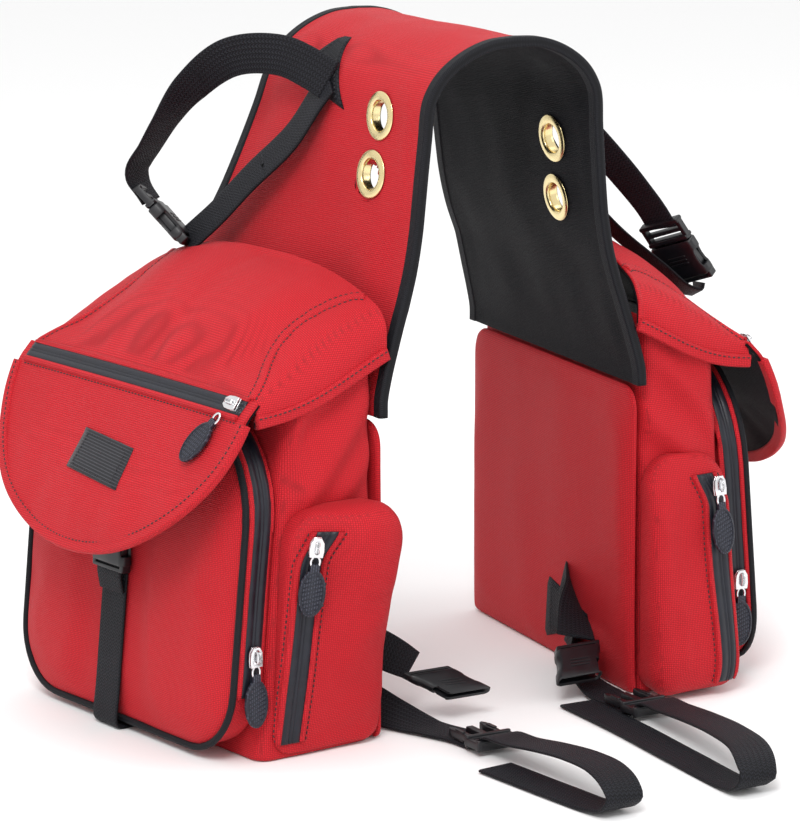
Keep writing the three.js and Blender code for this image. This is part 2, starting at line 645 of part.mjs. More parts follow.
// One girth strap: a short leg with the socket, and a long leg that runs through the plug's slot.
function addGirthStrap(root, side) {
  const route = girthRoutes[side.name];
  const points = (list) => list.map(([x, y, z]) => vec(x, y, z));
  const level = vec(1, 0, 0);
  const inward = vec(-side.sign, 0, 0);
  const turning = [vec(0, -0.5, 0.87), vec(-0.5 * side.sign, -0.4, 0.7), vec(-0.9 * side.sign, -0.2, 0.3)];
  const across = (count) => range(count, 0, count - 1).map((i) => turning[i] ?? inward);
  const shortLeg = points(route.shortLeg);
  piece(root, `${side.name}_girth_short_leg`, strap(shortLeg, across(4), 10), "black");
  const end = shortLeg[shortLeg.length - 1];
  const fall = end.clone().sub(shortLeg[shortLeg.length - 2]).normalize();
  const mouth = end.clone().addScaledVector(fall, buckle.socket + 8);
  piece(root, `${side.name}_girth_socket`, makeSocket(mouth, fall, level), "black");
  const longLeg = points([...route.longLeg, ...route.tail]);
  piece(root, `${side.name}_girth_long_leg`, strap(longLeg, across(longLeg.length), 60), "black");
  const throughSlot = longLeg[route.longLeg.length - 2];
  const slotCentre = plugSlot.start + plugSlot.length / 2 + 0.1;
  const plugMouth = throughSlot.clone().add(vec(0, slotCentre, 0));
  piece(root, `${side.name}_girth_plug`, makePlug(plugMouth, vec(0, -1, 0), level), "black");
}

const centred = new THREE.Group();
addYoke(centred);
for (const side of sides) {
  addPouch(centred, side);
  addLoop(centred, side);
  addGirthStrap(centred, side);
}
centred.position.set(...centring);
const saddlebags = new THREE.Group();
saddlebags.add(centred);

export default saddlebags;
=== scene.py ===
import math
from contextlib import contextmanager

import bmesh
import bpy
import numpy as np
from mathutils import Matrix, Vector, noise
from mathutils.bvhtree import BVHTree


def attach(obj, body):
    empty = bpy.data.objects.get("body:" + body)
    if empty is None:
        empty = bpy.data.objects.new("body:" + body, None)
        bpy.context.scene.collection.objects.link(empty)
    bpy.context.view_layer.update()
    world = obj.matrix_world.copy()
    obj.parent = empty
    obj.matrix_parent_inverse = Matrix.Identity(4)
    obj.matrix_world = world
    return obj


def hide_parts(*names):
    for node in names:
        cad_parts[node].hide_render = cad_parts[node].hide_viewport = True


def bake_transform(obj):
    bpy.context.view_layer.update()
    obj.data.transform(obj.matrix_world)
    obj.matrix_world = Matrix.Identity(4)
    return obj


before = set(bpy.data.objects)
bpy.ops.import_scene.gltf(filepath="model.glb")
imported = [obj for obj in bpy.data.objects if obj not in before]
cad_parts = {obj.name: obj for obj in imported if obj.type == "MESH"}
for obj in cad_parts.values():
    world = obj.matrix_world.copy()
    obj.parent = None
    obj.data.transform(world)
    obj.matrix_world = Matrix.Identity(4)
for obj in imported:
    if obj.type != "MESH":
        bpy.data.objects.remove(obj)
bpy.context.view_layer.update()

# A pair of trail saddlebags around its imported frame. Lengths in the making are millimetres, and
# objects are metres. Each pouch is drawn in its own frame: u out from its back, v along, z up.
MM = 0.001
UP = np.array([0, 0, 1.0])
CENTRING = np.array([8.3, 6.65, 0.0])
BACK_GAP, POUCH_SHIFT, TOE = 102.0, 12.0, math.radians(6.7)
ZIP_LINE, DEPTH_BOTTOM, DEPTH_TOP, FRONT_DEPTH = 218.0, 114.0, 92.0, 24.0
HALF_LONG, FRONT_HIGH, BACK_HIGH = 113, 207, 238  # main compartment
PANEL_HALF, PANEL_HIGH, SIDE_HIGH = 114, 194, 151  # back panel and side pocket
ROOF_DEPTH, ROOF_BACK, ROOF_HALF = 93.0, 258.0, 119.0
LIP_DROP, LIP_TILT = 104.0, math.radians(27)
ZIP_SHARE, FACE_SHARE = 0.4, 1.08  # where the front pocket's zip and its puffed face are in its depth
SLIDER_HIGH, PULL_DROP = 1 + 0.3 + 2, 6.6  # a slider's middle over its tape, and its pull's axis below that
CLOSURE_V = 8.0
WEB, WEB_THICK = 25.0, 1.9
random = np.random.default_rng(7)


class Side:
    def __init__(self, name, sign, fill, bulge, front_swell, grommets):
        self.name, self.sign, self.fill = name, sign, fill
        self.bulge, self.front_swell = bulge, front_swell
        self.grommets = grommets
        self.seed = 1 if sign < 0 else 2
        turn = -sign * TOE
        self.U = np.array([sign * math.cos(turn), sign * math.sin(turn), 0.0])
        self.V = np.array([-math.sin(turn), math.cos(turn), 0.0])
        self.origin = np.array([sign * BACK_GAP, POUCH_SHIFT, 0.0]) + CENTRING

    def at(self, points):
        """Points in the pouch's frame as points in the row frame, in millimetres."""
        p = np.asarray(points, float)
        return self.origin + p[..., :1] * self.U + p[..., 1:2] * self.V + p[..., 2:] * UP

    def turn(self, d):
        d = np.asarray(d, float)
        return d[..., :1] * self.U + d[..., 1:2] * self.V + d[..., 2:] * UP

    def main_depth(self, z):
        return self.fill * (DEPTH_BOTTOM + (DEPTH_TOP - DEPTH_BOTTOM) * z / ZIP_LINE - FRONT_DEPTH)

    def front_at(self, z, share):
        return self.main_depth(z) + 0.6 + self.fill * FRONT_DEPTH * share


LEFT = Side("left", -1, 1.0, (3, 40), 0.5, (366, 331))
RIGHT = Side("right", 1, 0.82, (34, 12), 0.85, (344, 307))
SIDES = (LEFT, RIGHT)


# ---------------------------------------------------------------- numbers and curves
def lerp(a, b, t):
    return a + (b - a) * t


def ease(t):
    t = np.clip(t, 0, 1)
    return t * t * (3 - 2 * t)


def unit(v):
    v = np.asarray(v, float)
    return v / np.maximum(np.linalg.norm(v, axis=-1, keepdims=True), 1e-9)


def running(line):
    """How far along a line each of its points is."""
    return np.concatenate([[0], np.cumsum(np.linalg.norm(np.diff(line, axis=0), axis=1))])


def length_of(line):
    return float(np.linalg.norm(np.diff(line, axis=0), axis=1).sum())


def sampled(at, run, values):
    """Rows of values that are known at run, at other places."""
    return np.stack([np.interp(at, run, values[:, k]) for k in range(values.shape[1])], 1)


def spaced(points, count, closed=False):
    """The same line with count points, evenly far apart."""
    p = np.asarray(points, float)
    if closed:
        p = np.vstack([p, p[:1]])
    run = running(p)
    at = np.linspace(0, run[-1], count + 1)[:-1] if closed else np.linspace(0, run[-1], count)
    return sampled(at, run, p)


def along_route(route, points, values):
    """A row of values for each point of a route, from those at the points it was drawn through."""
    where = [np.argmin(np.linalg.norm(route - p, axis=1)) for p in points]
    return sampled(np.arange(len(route)), where, values)


def curve(points, count, even=True):
    """A centripetal Catmull-Rom curve through the points."""
    p = np.asarray(points, float)
    p = np.vstack([2 * p[0] - p[1], p, 2 * p[-1] - p[-2]])
    made = []
    for i in range(1, len(p) - 2):
        a, b, c, d = p[i - 1:i + 3]
        t1 = max(np.linalg.norm(b - a), 1e-6) ** 0.5
        t2 = t1 + max(np.linalg.norm(c - b), 1e-6) ** 0.5
        t3 = t2 + max(np.linalg.norm(d - c), 1e-6) ** 0.5
        t = np.linspace(t1, t2, 17)[:-1, None]
        ab = (t1 - t) / t1 * a + t / t1 * b
        bc = (t2 - t) / (t2 - t1) * b + (t - t1) / (t2 - t1) * c
        cd = (t3 - t) / (t3 - t2) * c + (t - t2) / (t3 - t2) * d
        abc = (t2 - t) / t2 * ab + t / t2 * bc
        bcd = (t3 - t) / (t3 - t1) * bc + (t - t1) / (t3 - t1) * cd
        made.append((t2 - t) / (t2 - t1) * abc + (t - t1) / (t2 - t1) * bcd)
    made.append(p[-2:-1])
    line = np.vstack(made)
    return spaced(line, count) if even else line


def rounded(left, right, bottom, top, radii, arc=7):
    """A rectangle's outline with rounded corners, from its right top corner round to the left."""
    corners = ((right, top, 0), (left, top, 1), (left, bottom, 2), (right, bottom, 3))
    points = []
    for x, y, quarter in corners:
        r = radii[quarter]
        cx = x + (-r if quarter in (0, 3) else r)
        cy = y + (-r if quarter < 2 else r)
        for k in range(arc + 1):
            a = (quarter + k / arc) * math.pi / 2
            points.append((cx + r * math.cos(a), cy + r * math.sin(a)))
    return np.array(points)


# ---------------------------------------------------------------- meshes
def add_object(name, data):
    obj = bpy.data.objects.new(name, data)
    bpy.context.scene.collection.objects.link(obj)
    return obj


@contextmanager
def editing(obj):
    """The object's mesh, opened for changes and then written back."""
    bm = bmesh.new()
    bm.from_mesh(obj.data)
    yield bm
    bm.to_mesh(obj.data)
    bm.free()


def cut_away(bm, doomed):
    """Deletes each face whose middle, in millimetres, is doomed."""
    faces = [face for face in bm.faces if doomed(np.array(face.calc_center_median()) / MM)]
    bmesh.ops.delete(bm, geom=faces, context="FACES")


def make_object(name, points, faces, uvs=None):
    mesh = bpy.data.meshes.new(name)
    mesh.from_pydata((np.asarray(points) * MM).tolist(), [], faces)
    if uvs is not None:
        layer = mesh.uv_layers.new(name="mm")
        layer.data.foreach_set("uv", np.asarray(uvs, np.float32).ravel())
    mesh.shade_smooth()
    return add_object(name, mesh)


def grid(name, rows, loop_rows=False, loop_columns=False, cap=False, uv=None, flip=False):
    """A surface through rows of points. Its UVs are millimetres along its columns and rows."""
    rows = np.asarray(rows, float)
    n, m = rows.shape[:2]
    if uv is None:
        step = np.linalg.norm(np.roll(rows, -1, 1) - rows, axis=2).mean(0)
        across = np.concatenate([[0], np.cumsum(step)])
        down = np.linalg.norm(np.diff(rows, axis=0), axis=2).mean(1)
        down = np.concatenate([[0], np.cumsum(down)])
        down = np.append(down, down[-1] + 5)
        uv = np.stack(np.meshgrid(across, down), 2)
    else:
        uv = np.asarray(uv, float)
        if uv.shape[1] == m:
            uv = np.concatenate([uv, uv[:, :1]], 1)
        if uv.shape[0] == n:
            uv = np.concatenate([uv, uv[:1]], 0)
    faces, uvs = [], []
    for i in range(n if loop_rows else n - 1):
        for j in range(m if loop_columns else m - 1):
            corners = [(i, j), (i, j + 1), (i + 1, j + 1), (i + 1, j)]
            if flip:
                corners.reverse()
            faces.append([(a % n) * m + b % m for a, b in corners])
            uvs.extend(uv[a, b] for a, b in corners)
    if cap:
        ends = (list(range(m))[::-1], list(range((n - 1) * m, n * m)))
        for end in ends:
            end = end[::-1] if flip else end
            faces.append(end)
            uvs.extend(uv[k // m, k % m] for k in end)
    return make_object(name, rows.reshape(-1, 3), faces, uvs)


def bake(obj):
    """Makes what its modifiers give the object's own mesh."""
    graph = bpy.context.evaluated_depsgraph_get()
    mesh = bpy.data.meshes.new_from_object(obj.evaluated_get(graph))
    obj.modifiers.clear()
    old = obj.data
    obj.data = mesh
    bpy.data.meshes.remove(old)
    obj.data.shade_smooth()
    return obj


def solidify(obj, thickness, offset=-1.0):
    m = obj.modifiers.new("thick", "SOLIDIFY")
    m.thickness, m.offset, m.use_even_offset = thickness * MM, offset, False
    return bake(obj)


def subdivide(obj, levels=1):
    m = obj.modifiers.new("smooth", "SUBSURF")
    m.levels = m.render_levels = levels
    return bake(obj)


def bevel(obj, width, segments=2, angle=35):
    m = obj.modifiers.new("round", "BEVEL")
    m.width, m.segments, m.limit_method = width * MM, segments, "ANGLE"
    m.angle_limit = math.radians(angle)
    m.harden_normals = False
    return bake(obj)


def join(name, objects):
    """Several objects as one, with their materials."""
    first = objects[0]
    with bpy.context.temp_override(
        active_object=first, object=first, selected_objects=objects, selected_editable_objects=objects
    ):
        bpy.ops.object.join()
    first.name = name
    return first


def coordinates(obj):
    co = np.zeros(len(obj.data.vertices) * 3, np.float32)
    obj.data.vertices.foreach_get("co", co)
    return co.reshape(-1, 3).astype(float) / MM


def set_coordinates(obj, points):
    obj.data.vertices.foreach_set("co", (np.asarray(points) * MM).astype(np.float32).ravel())
    obj.data.update()


def vertex_normals(obj):
    n = np.zeros(len(obj.data.vertices) * 3, np.float32)
    obj.data.vertices.foreach_get("normal", n)
    return n.reshape(-1, 3).astype(float)


def puff(obj, pressure, cap, pinned, grow=0.03, frames=20, seed_push=0.35, stiffness=12.0):
    """Cloth simulation of one sewn piece. pinned is each vertex's hold, from 0 to 1."""
    rest = coordinates(obj)
    free = np.clip(1 - np.asarray(pinned, float), 0, 1)[:, None]
    push = random.normal(0, seed_push, (len(rest), 1)) * free
    set_coordinates(obj, rest + vertex_normals(obj) * push)
    group = obj.vertex_groups.new(name="held")
    for i, w in enumerate(pinned):
        if w > 0:
            group.add([i], float(w), "REPLACE")
    m = obj.modifiers.new("cloth", "CLOTH")
    s = m.settings
    s.quality, s.mass, s.air_damping = 6, 0.3, 2.0
    s.tension_stiffness = s.compression_stiffness = stiffness
    s.shear_stiffness, s.bending_stiffness = 4.0, 0.4
    s.tension_damping = s.compression_damping = 8.0
    s.use_pressure, s.uniform_pressure_force = True, pressure
    s.effector_weights.gravity = 0.0
    s.vertex_group_mass = "held"
    s.shrink_min = s.shrink_max = -grow
    m.collision_settings.use_collision = False
    m.point_cache.frame_start, m.point_cache.frame_end = 1, frames + 1
    for f in range(1, frames + 1):
        bpy.context.scene.frame_set(f)
    bake(obj)
    obj.vertex_groups.clear()
    moved = coordinates(obj) - rest
    ends = np.array([e.vertices for e in obj.data.edges])
    count = np.bincount(ends.ravel(), minlength=len(rest))[:, None]
    for _ in range(14):
        around = np.zeros_like(moved)
        np.add.at(around, ends[:, 0], moved[ends[:, 1]])
        np.add.at(around, ends[:, 1], moved[ends[:, 0]])
        moved = (moved + around / np.maximum(count, 1)) / 2
    far = np.linalg.norm(moved, axis=1, keepdims=True)
    set_coordinates(obj, rest + moved * np.minimum(1, cap / np.maximum(far, 1e-6)) * free)
    bpy.context.scene.frame_set(1)
    return obj


class Skin:
    """Finds points on a finished piece's surface, so that seams and tapes lie on it."""

    def __init__(self, *objects):
        points, faces, start = [], [], 0
        for obj in objects:
            points.append(coordinates(obj))
            faces.extend([start + i for i in p.vertices] for p in obj.data.polygons)
            start += len(points[-1])
        self.tree = BVHTree.FromPolygons([Vector(p) for p in np.vstack(points)], faces)

    def on(self, points, towards=None, reach=60.0):
        """Each point moved onto the surface, and the surface's direction there."""
        found, normals = [], []
        for k, p in enumerate(np.asarray(points, float)):
            hit = None
            if towards is not None:
                d = Vector(towards[k] if np.ndim(towards) > 1 else towards).normalized()
                hit = self.tree.ray_cast(Vector(p) - d * reach, d, 2 * reach)
            if hit is None or hit[0] is None:
                hit = self.tree.find_nearest(Vector(p))
            found.append(hit[0])
            normals.append(hit[1])
        return np.array(found), unit(np.array(normals))


# ---------------------------------------------------------------- materials
class Field:
    """A value that changes over a surface, made of shader nodes."""

    def __init__(self, tree, socket):
        self.tree, self.socket = tree, socket

    def op(self, kind, *others, clamp=False):
        node = self.tree.nodes.new("ShaderNodeMath")
        node.operation, node.use_clamp = kind, clamp
        for k, value in enumerate((self, *others)):
            if isinstance(value, Field):
                self.tree.links.new(value.socket, node.inputs[k])
            else:
                node.inputs[k].default_value = float(value)
        return Field(self.tree, node.outputs[0])

    def __add__(self, other):
        return self.op("ADD", other)

    def __sub__(self, other):
        return self.op("SUBTRACT", other)

    def __mul__(self, other):
        return self.op("MULTIPLY", other)

    def __abs__(self):
        return self.op("ABSOLUTE")

    def power(self, n):
        return self.op("POWER", n)

    def sine(self):
        return self.op("SINE")

    def between(self, low, high):
        node = self.tree.nodes.new("ShaderNodeMapRange")
        node.interpolation_type = "SMOOTHSTEP"
        self.tree.links.new(self.socket, node.inputs[0])
        node.inputs[1].default_value, node.inputs[2].default_value = low, high
        return Field(self.tree, node.outputs[0])


class Finish:
    """A node material with one main shader."""

    def __init__(self, name, colour, roughness, metallic=0.0, sheen=0.0, sheen_tint=None, specular=0.5,
                 coat=0.0):
        self.material = bpy.data.materials.new(name)
        self.material.use_nodes = True
        self.tree = self.material.node_tree
        self.shader = self.tree.nodes["Principled BSDF"]
        self.set("Base Color", (*colour, 1))
        self.set("Roughness", roughness)
        self.set("Metallic", metallic)
        self.set("Specular IOR Level", specular)
        self.set("Sheen Weight", sheen)
        self.set("Sheen Roughness", 0.45)
        self.set("Coat Weight", coat)
        if sheen_tint:
            self.set("Sheen Tint", (*sheen_tint, 1))

    def set(self, socket, value):
        self.shader.inputs[socket].default_value = value

    def link(self, field, socket):
        self.tree.links.new(field.socket, self.shader.inputs[socket])

    def coordinates(self, kind="Object", turn=0.0):
        node = self.tree.nodes.new("ShaderNodeTexCoord")
        out = node.outputs[kind]
        if turn:
            mapping = self.tree.nodes.new("ShaderNodeMapping")
            mapping.inputs["Rotation"].default_value = (0, 0, turn)
            self.tree.links.new(out, mapping.inputs[0])
            out = mapping.outputs[0]
        return out

    def parts(self, vector):
        node = self.tree.nodes.new("ShaderNodeSeparateXYZ")
        self.tree.links.new(vector, node.inputs[0])
        return [Field(self.tree, o) for o in node.outputs]

    def noise(self, scale, detail):
        node = self.tree.nodes.new("ShaderNodeTexNoise")
        node.inputs["Scale"].default_value = scale
        node.inputs["Detail"].default_value = detail
        self.tree.links.new(self.coordinates(), node.inputs["Vector"])
        return Field(self.tree, node.outputs[0])

    def mix(self, share, first, second):
        node = self.tree.nodes.new("ShaderNodeMix")
        node.data_type = "RGBA"
        self.tree.links.new(share.socket, node.inputs[0])
        for index, value in ((6, first), (7, second)):
            if isinstance(value, Field):
                self.tree.links.new(value.socket, node.inputs[index])
            else:
                node.inputs[index].default_value = (*value, 1)
        return Field(self.tree, node.outputs[2])

    def bump(self, height, distance, strength=1.0, below=None):
        node = self.tree.nodes.new("ShaderNodeBump")
        node.inputs["Distance"].default_value = distance
        node.inputs["Strength"].default_value = strength
        self.tree.links.new(height.socket, node.inputs["Height"])
        if below is not None:
            self.tree.links.new(below.socket, node.inputs["Normal"])
        return Field(self.tree, node.outputs[0])


def shade(colour, factor):
    return tuple(min(1.0, c * factor) for c in colour)


def woven(name, colour, dark, sheen=0.06, tint=(1, 0.45, 0.45), turn=0.0, specular=0.22):
    """Coarse plain-woven cloth: rows of raised thread crossings, drawn along the three axes."""
    pitch, roughness = 1.15, 0.62
    f = Finish(name, colour, roughness, sheen=sheen, sheen_tint=tint, specular=specular)
    x, y, z = f.parts(f.coordinates("Object", turn))
    nx, ny, nz = (abs(n).power(5) for n in f.parts(f.coordinates("Normal", turn)))
    total = nx + ny + nz + 1e-4
    k = math.pi / (pitch * MM)
    sx, sy, sz = ((c * k).sine() for c in (x, y, z))
    pattern = (sy * sz * nx + sx * sz * ny + sx * sy * nz).op("DIVIDE", total)
    height = abs(pattern)
    blotch = f.noise(14.0, 3.0)
    fibre = f.noise(900.0, 2.0)
    crossing = pattern.between(-0.5, 0.5)
    # Painted shade: the gaps between the raised threads are darkened to 0.42 of the colour.
    base = f.mix(height.between(0.02, 0.75), shade(colour, 0.42), colour)
    # Painted highlight: one set of thread crossings is lightened to 1.45 of the colour.
    base = f.mix(crossing * 0.22, base, shade(colour, 1.45))
    base = f.mix(blotch.between(0.35, 0.75) * 0.3, base, dark)
    f.link(base, "Base Color")
    f.link(fibre * 0.25 + (roughness - 0.12), "Roughness")
    soft = f.bump(f.noise(55.0, 3.0), 0.0012, 0.35)
    fine = f.bump(height + fibre * 0.2, 0.00038, 0.8, below=soft)
    f.link(fine, "Normal")
    return f.material


def ribbed(name, colour, light, rib=2.1, column=3.1, roughness=0.6, depth=0.00045):
    """Webbing or tape with slanting ribs in columns. Its UVs are millimetres across and along."""
    f = Finish(name, colour, roughness, sheen=0.02, sheen_tint=(0.7, 0.75, 0.9), specular=0.2)
    across, along, _ = f.parts(f.coordinates("UV"))
    zigzag = abs((across * (1 / column)).op("FRACT") - 0.5)
    ridge = ((along * (1 / rib) + zigzag * 1.4) * (2 * math.pi)).sine() * 0.5 + 0.5
    groove = ((across * (1 / column)).op("FRACT") - 0.5)
    groove = abs(groove).between(0.5, 0.36)
    height = ridge * groove
    fibre = f.noise(1500.0, 2.0)
    # Painted highlight: the raised ribs are painted in the lighter colour, and the grooves keep the dark one.
    base = f.mix(height.between(0.1, 0.9), colour, light)
    base = f.mix(f.noise(30.0, 3.0).between(0.3, 0.8) * 0.35, base, shade(colour, 0.7))
    f.link(base, "Base Color")
    f.link(fibre * 0.2 + (roughness - 0.1), "Roughness")
    f.link(f.bump(height + fibre * 0.15, depth, 0.8), "Normal")
    return f.material


def coated(name, colour, light, roughness=0.42):
    """A zip's coated tape: smooth, with a fine cross weave that only just shows."""
    f = Finish(name, colour, roughness, specular=0.35, sheen=0.03, coat=0.04)
    _, along, _ = f.parts(f.coordinates("UV"))
    weave = (along * (2 * math.pi / 0.9)).sine() * 0.5 + 0.5
    scuff = f.noise(120.0, 4.0)
    base = f.mix(scuff.between(0.35, 0.75) * 0.5, colour, light)
    f.link(base, "Base Color")
    f.link(scuff * 0.3 + (roughness - 0.15), "Roughness")
    f.link(f.bump(weave * 0.5 + f.noise(260.0, 2.0), 0.00018, 0.5), "Normal")
    return f.material


def moulded(name, colour, light, roughness=0.4):
    f = Finish(name, colour, roughness, specular=0.5)
    grain = f.noise(700.0, 3.0)
    wear = f.noise(90.0, 4.0)
    f.link(f.mix(wear.between(0.45, 0.8) * 0.5, colour, light), "Base Color")
    f.link(wear * 0.35 + (roughness - 0.16), "Roughness")
    f.link(f.bump(grain, 0.00012, 0.6), "Normal")
    return f.material


def rubber_ribs(name, colour, light):
    """A zip pull's face: raised cross-hatched lines over a dull rubber."""
    f = Finish(name, colour, 0.5, specular=0.4)
    across, along, _ = f.parts(f.coordinates("UV"))
    lines = abs((across * (math.pi / 1.5)).sine()).power(3)
    steps = ((along + across * 0.6) * (math.pi / 1.0)).sine() * 0.5 + 0.5
    height = lines * (steps * 0.6 + 0.4)
    # Painted highlight: the raised lines are painted in the lighter colour.
    f.link(f.mix(height.between(0.1, 0.8), colour, light), "Base Color")
    f.link(f.noise(300.0, 3.0) * 0.3 + 0.35, "Roughness")
    f.link(f.bump(height, 0.0004, 0.7), "Normal")
    return f.material


def metal(name, colour, roughness, dull):
    f = Finish(name, colour, roughness, metallic=1.0, specular=0.5)
    wear = f.noise(160.0, 4.0)
    f.link(f.mix(wear.between(0.5, 0.85) * 0.6, colour, dull), "Base Color")
    f.link(wear * 0.22 + (roughness - 0.06), "Roughness")
    f.link(f.bump(f.noise(500.0, 3.0), 0.00008, 0.5), "Normal")
    return f.material


def striped(name, colour, light):
    """A woven patch of plain stripes."""
    f = Finish(name, colour, 0.6, sheen=0.1, specular=0.3)
    across, along, _ = f.parts(f.coordinates("UV"))
    line = ((along * (2 * math.pi / 1.9)).sine() * 0.5 + 0.5).power(2)
    thread = (across * (2 * math.pi / 0.8)).sine() * 0.5 + 0.5
    height = line * (thread * 0.5 + 0.5)
    f.link(f.mix(height.between(0.15, 0.9), colour, light), "Base Color")
    f.link(f.bump(height, 0.0003, 0.7), "Normal")
    return f.material


RED = (0.60, 0.012, 0.022)
RED_DARK = (0.38, 0.006, 0.011)
red_left = woven("red_nylon_left", RED, RED_DARK, turn=-TOE)
red_right = woven("red_nylon_right", RED, RED_DARK, turn=TOE)
red_cloth = woven("red_nylon", RED, RED_DARK)
black_cloth = woven("black_nylon", (0.0045, 0.0042, 0.0065), (0.0025, 0.0025, 0.004), sheen=0.01,
                    tint=(0.6, 0.65, 0.8), specular=0.1)
webbing = ribbed("black_webbing", (0.003, 0.003, 0.0045), (0.013, 0.0135, 0.019))
binding = ribbed("black_binding", (0.0035, 0.0035, 0.005), (0.011, 0.0115, 0.016), rib=1.1, column=2.0,
                 depth=0.00025)
tape = coated("zip_tape", (0.006, 0.007, 0.013), (0.016, 0.018, 0.029))
plastic = moulded("black_plastic", (0.005, 0.005, 0.007), (0.014, 0.0145, 0.018))
pull_rubber = rubber_ribs("grey_rubber", (0.012, 0.013, 0.022), (0.055, 0.060, 0.085))
brass = metal("pale_brass", (0.83, 0.69, 0.37), 0.2, (0.62, 0.48, 0.22))
nickel = metal("bright_nickel", (0.78, 0.78, 0.80), 0.16, (0.5, 0.5, 0.52))
thread_black = moulded("black_thread", (0.012, 0.010, 0.013), (0.03, 0.028, 0.032), 0.6)
patch_stripes = striped("striped_patch", (0.008, 0.008, 0.011), (0.05, 0.05, 0.06))
SIDE_RED = {"left": red_left, "right": red_right}


def settle(obj, body, material, slot, *replaced):
    obj.data.materials.clear()
    obj.data.materials.append(material)
    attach(obj, body)
    if replaced:
        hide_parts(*replaced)
    return obj


# ---------------------------------------------------------------- camera
camera = add_object("camera", bpy.data.cameras.new("camera"))
camera.data.lens = 172.5
camera.data.sensor_width = 36.0
camera.data.clip_start, camera.data.clip_end = 0.1, 50.0
camera.location = Vector((np.array([-1261.5, -2072.1, 691.5]) + CENTRING) * MM)
camera.rotation_mode = "QUATERNION"
camera.rotation_quaternion = Vector((0.5034, 0.8378, -0.2113)).to_track_quat("-Z", "Y")
bpy.context.scene.camera = camera


# ---------------------------------------------------------------- straps
def declare_sheet(rows):
    """The flat size of a cloth, measured along the rows it is laid out in before it is simulated; the size is
    worked out and not kept.
    """
    rows = np.asarray(rows)
    middle = rows[len(rows) // 2], rows[:, rows.shape[1] // 2]
    flat = [round(length_of(line) * MM, 3) for line in middle]


def strap_section(width, thickness):
    """A flat band with soft edges: distance across and out, from one edge round to it again."""
    a, n = width / 2, thickness / 2
    half = [(-a, 0), (-a + 0.35, n * 0.75), (-a + 1.3, n), (-a / 2, n), (0, n), (a / 2, n), (a - 1.3, n),
            (a - 0.35, n * 0.75), (a, 0)]
    return np.array(half + [(x, -y) for x, y in half[-2:0:-1]])


def sweep(name, route, across, section, closed=False):
    """A section carried along a route. across gives its width's direction at each point."""
    route = np.asarray(route, float)
    if closed:
        tangent = unit(np.roll(route, -1, 0) - np.roll(route, 1, 0))
    else:
        tangent = unit(np.gradient(route, axis=0))
    across = np.asarray(across, float)
    if across.ndim == 1:
        across = np.tile(across, (len(route), 1))
    side = unit(across - (across * tangent).sum(1, keepdims=True) * tangent)
    normal = np.cross(tangent, side)
    rows = route[:, None] + side[:, None] * section[None, :, :1] + normal[:, None] * section[None, :, 1:]
    run = running(route)
    if closed:
        run = np.append(run, run[-1] + np.linalg.norm(route[0] - route[-1]))
    u = np.append(section[:, 0] - section[:, 0].min(), 0)
    uv = np.stack(np.meshgrid(u, run), 2)
    if not closed:
        uv = np.concatenate([uv, uv[-1:]], 0)
    return grid(name, rows, loop_rows=closed, loop_columns=True, cap=not closed, uv=uv)


def band(name, route, across, thickness=WEB_THICK):
    return sweep(name, route, across, strap_section(WEB, thickness))


def tube(name, route, radius, closed=False, corners=10, up=(0, 0, 1.0)):
    angles = np.linspace(0, 2 * math.pi, corners, endpoint=False)
    section = np.stack([np.cos(angles), np.sin(angles)], 1) * radius
    return sweep(name, route, np.asarray(up, float), section, closed)


def stitches(name, line, normals, gap, length, radius):
    """A row of short threads along a line on a surface."""
    line = np.asarray(line, float)
    run = running(line)
    count = max(int(run[-1] / gap), 1)
    starts = (np.arange(count) + 0.5) * run[-1] / count - length / 2
    points, faces = [], []
    shares = np.array([0, 0.18, 0.5, 0.82, 1.0])
    swell = np.array([0.3, 0.85, 1.0, 0.85, 0.3])
    lift = np.array([-0.7, 0.1, 0.45, 0.1, -0.7])
    for s in starts:
        at = s + shares * length
        mid, nrm = sampled(at, run, line), unit(sampled(at, run, normals))
        along = unit(mid[-1] - mid[0])
        side = unit(np.cross(along, nrm[2]))
        base = len(points)
        for k in range(5):
            centre = mid[k] + nrm[k] * radius * lift[k]
            for c in range(6):
                a = c * math.pi / 3
                points.append(centre + (side * math.cos(a) + nrm[k] * math.sin(a)) * radius * swell[k])
        for k in range(4):
            for c in range(6):
                d = (c + 1) % 6
                faces.append([base + k * 6 + c, base + k * 6 + d, base + k * 6 + 6 + d, base + k * 6 + 6 + c])
        faces.append([base + c for c in range(5, -1, -1)])
        faces.append([base + 24 + c for c in range(6)])
    return make_object(name, points, faces)


GIRTH = {
    "left": {
        "short": [(-94, -24, 53), (-85, -42, 51), (-68, -60, 43), (-52, -74, 33)],
        "long": [(-94, -30, 25), (-86, -50, 17), (-72, -78, 8), (-60, -104, 3), (-50, -130, 2.2),
                 (-47, -151.5, 2.2), (-47, -158, 6.6), (-47, -164.5, 11.4), (-46, -186, 13), (-45, -215, 17),
                 (-46, -250, 21), (-49, -280, 22), (-52, -298, 18), (-53, -304, 12), (-54, -299, 5.5),
                 (-56, -284, 2), (-60, -250, 1.6), (-66, -190, 1.6)],
    },
    "right": {
        "short": [(95, -16, 56), (90, -34, 52), (78, -54, 43), (69, -70, 33)],
        "long": [(95, -24, 26), (88, -44, 17), (76, -70, 8), (72, -96, 3), (72, -118, 2.2),
                 (72, -139.5, 2.2), (72, -146, 6.6), (72, -152.5, 11.4), (70, -174, 13), (64, -210, 17),
                 (55, -250, 21), (45, -286, 22), (37, -304, 18), (34, -310, 12), (33, -305, 5.5),
                 (34, -290, 2), (39, -230, 1.6), (45, -165, 1.6), (48, -104, 1.6)],
    },
}


def girth_across(side, count):
    turning = np.array([(0, -0.5, 0.87), (-0.5 * side.sign, -0.4, 0.7), (-0.9 * side.sign, -0.2, 0.3)])
    rest = np.tile((-side.sign, 0, 0), (count - len(turning), 1))
    return np.vstack([turning, rest])[:count]


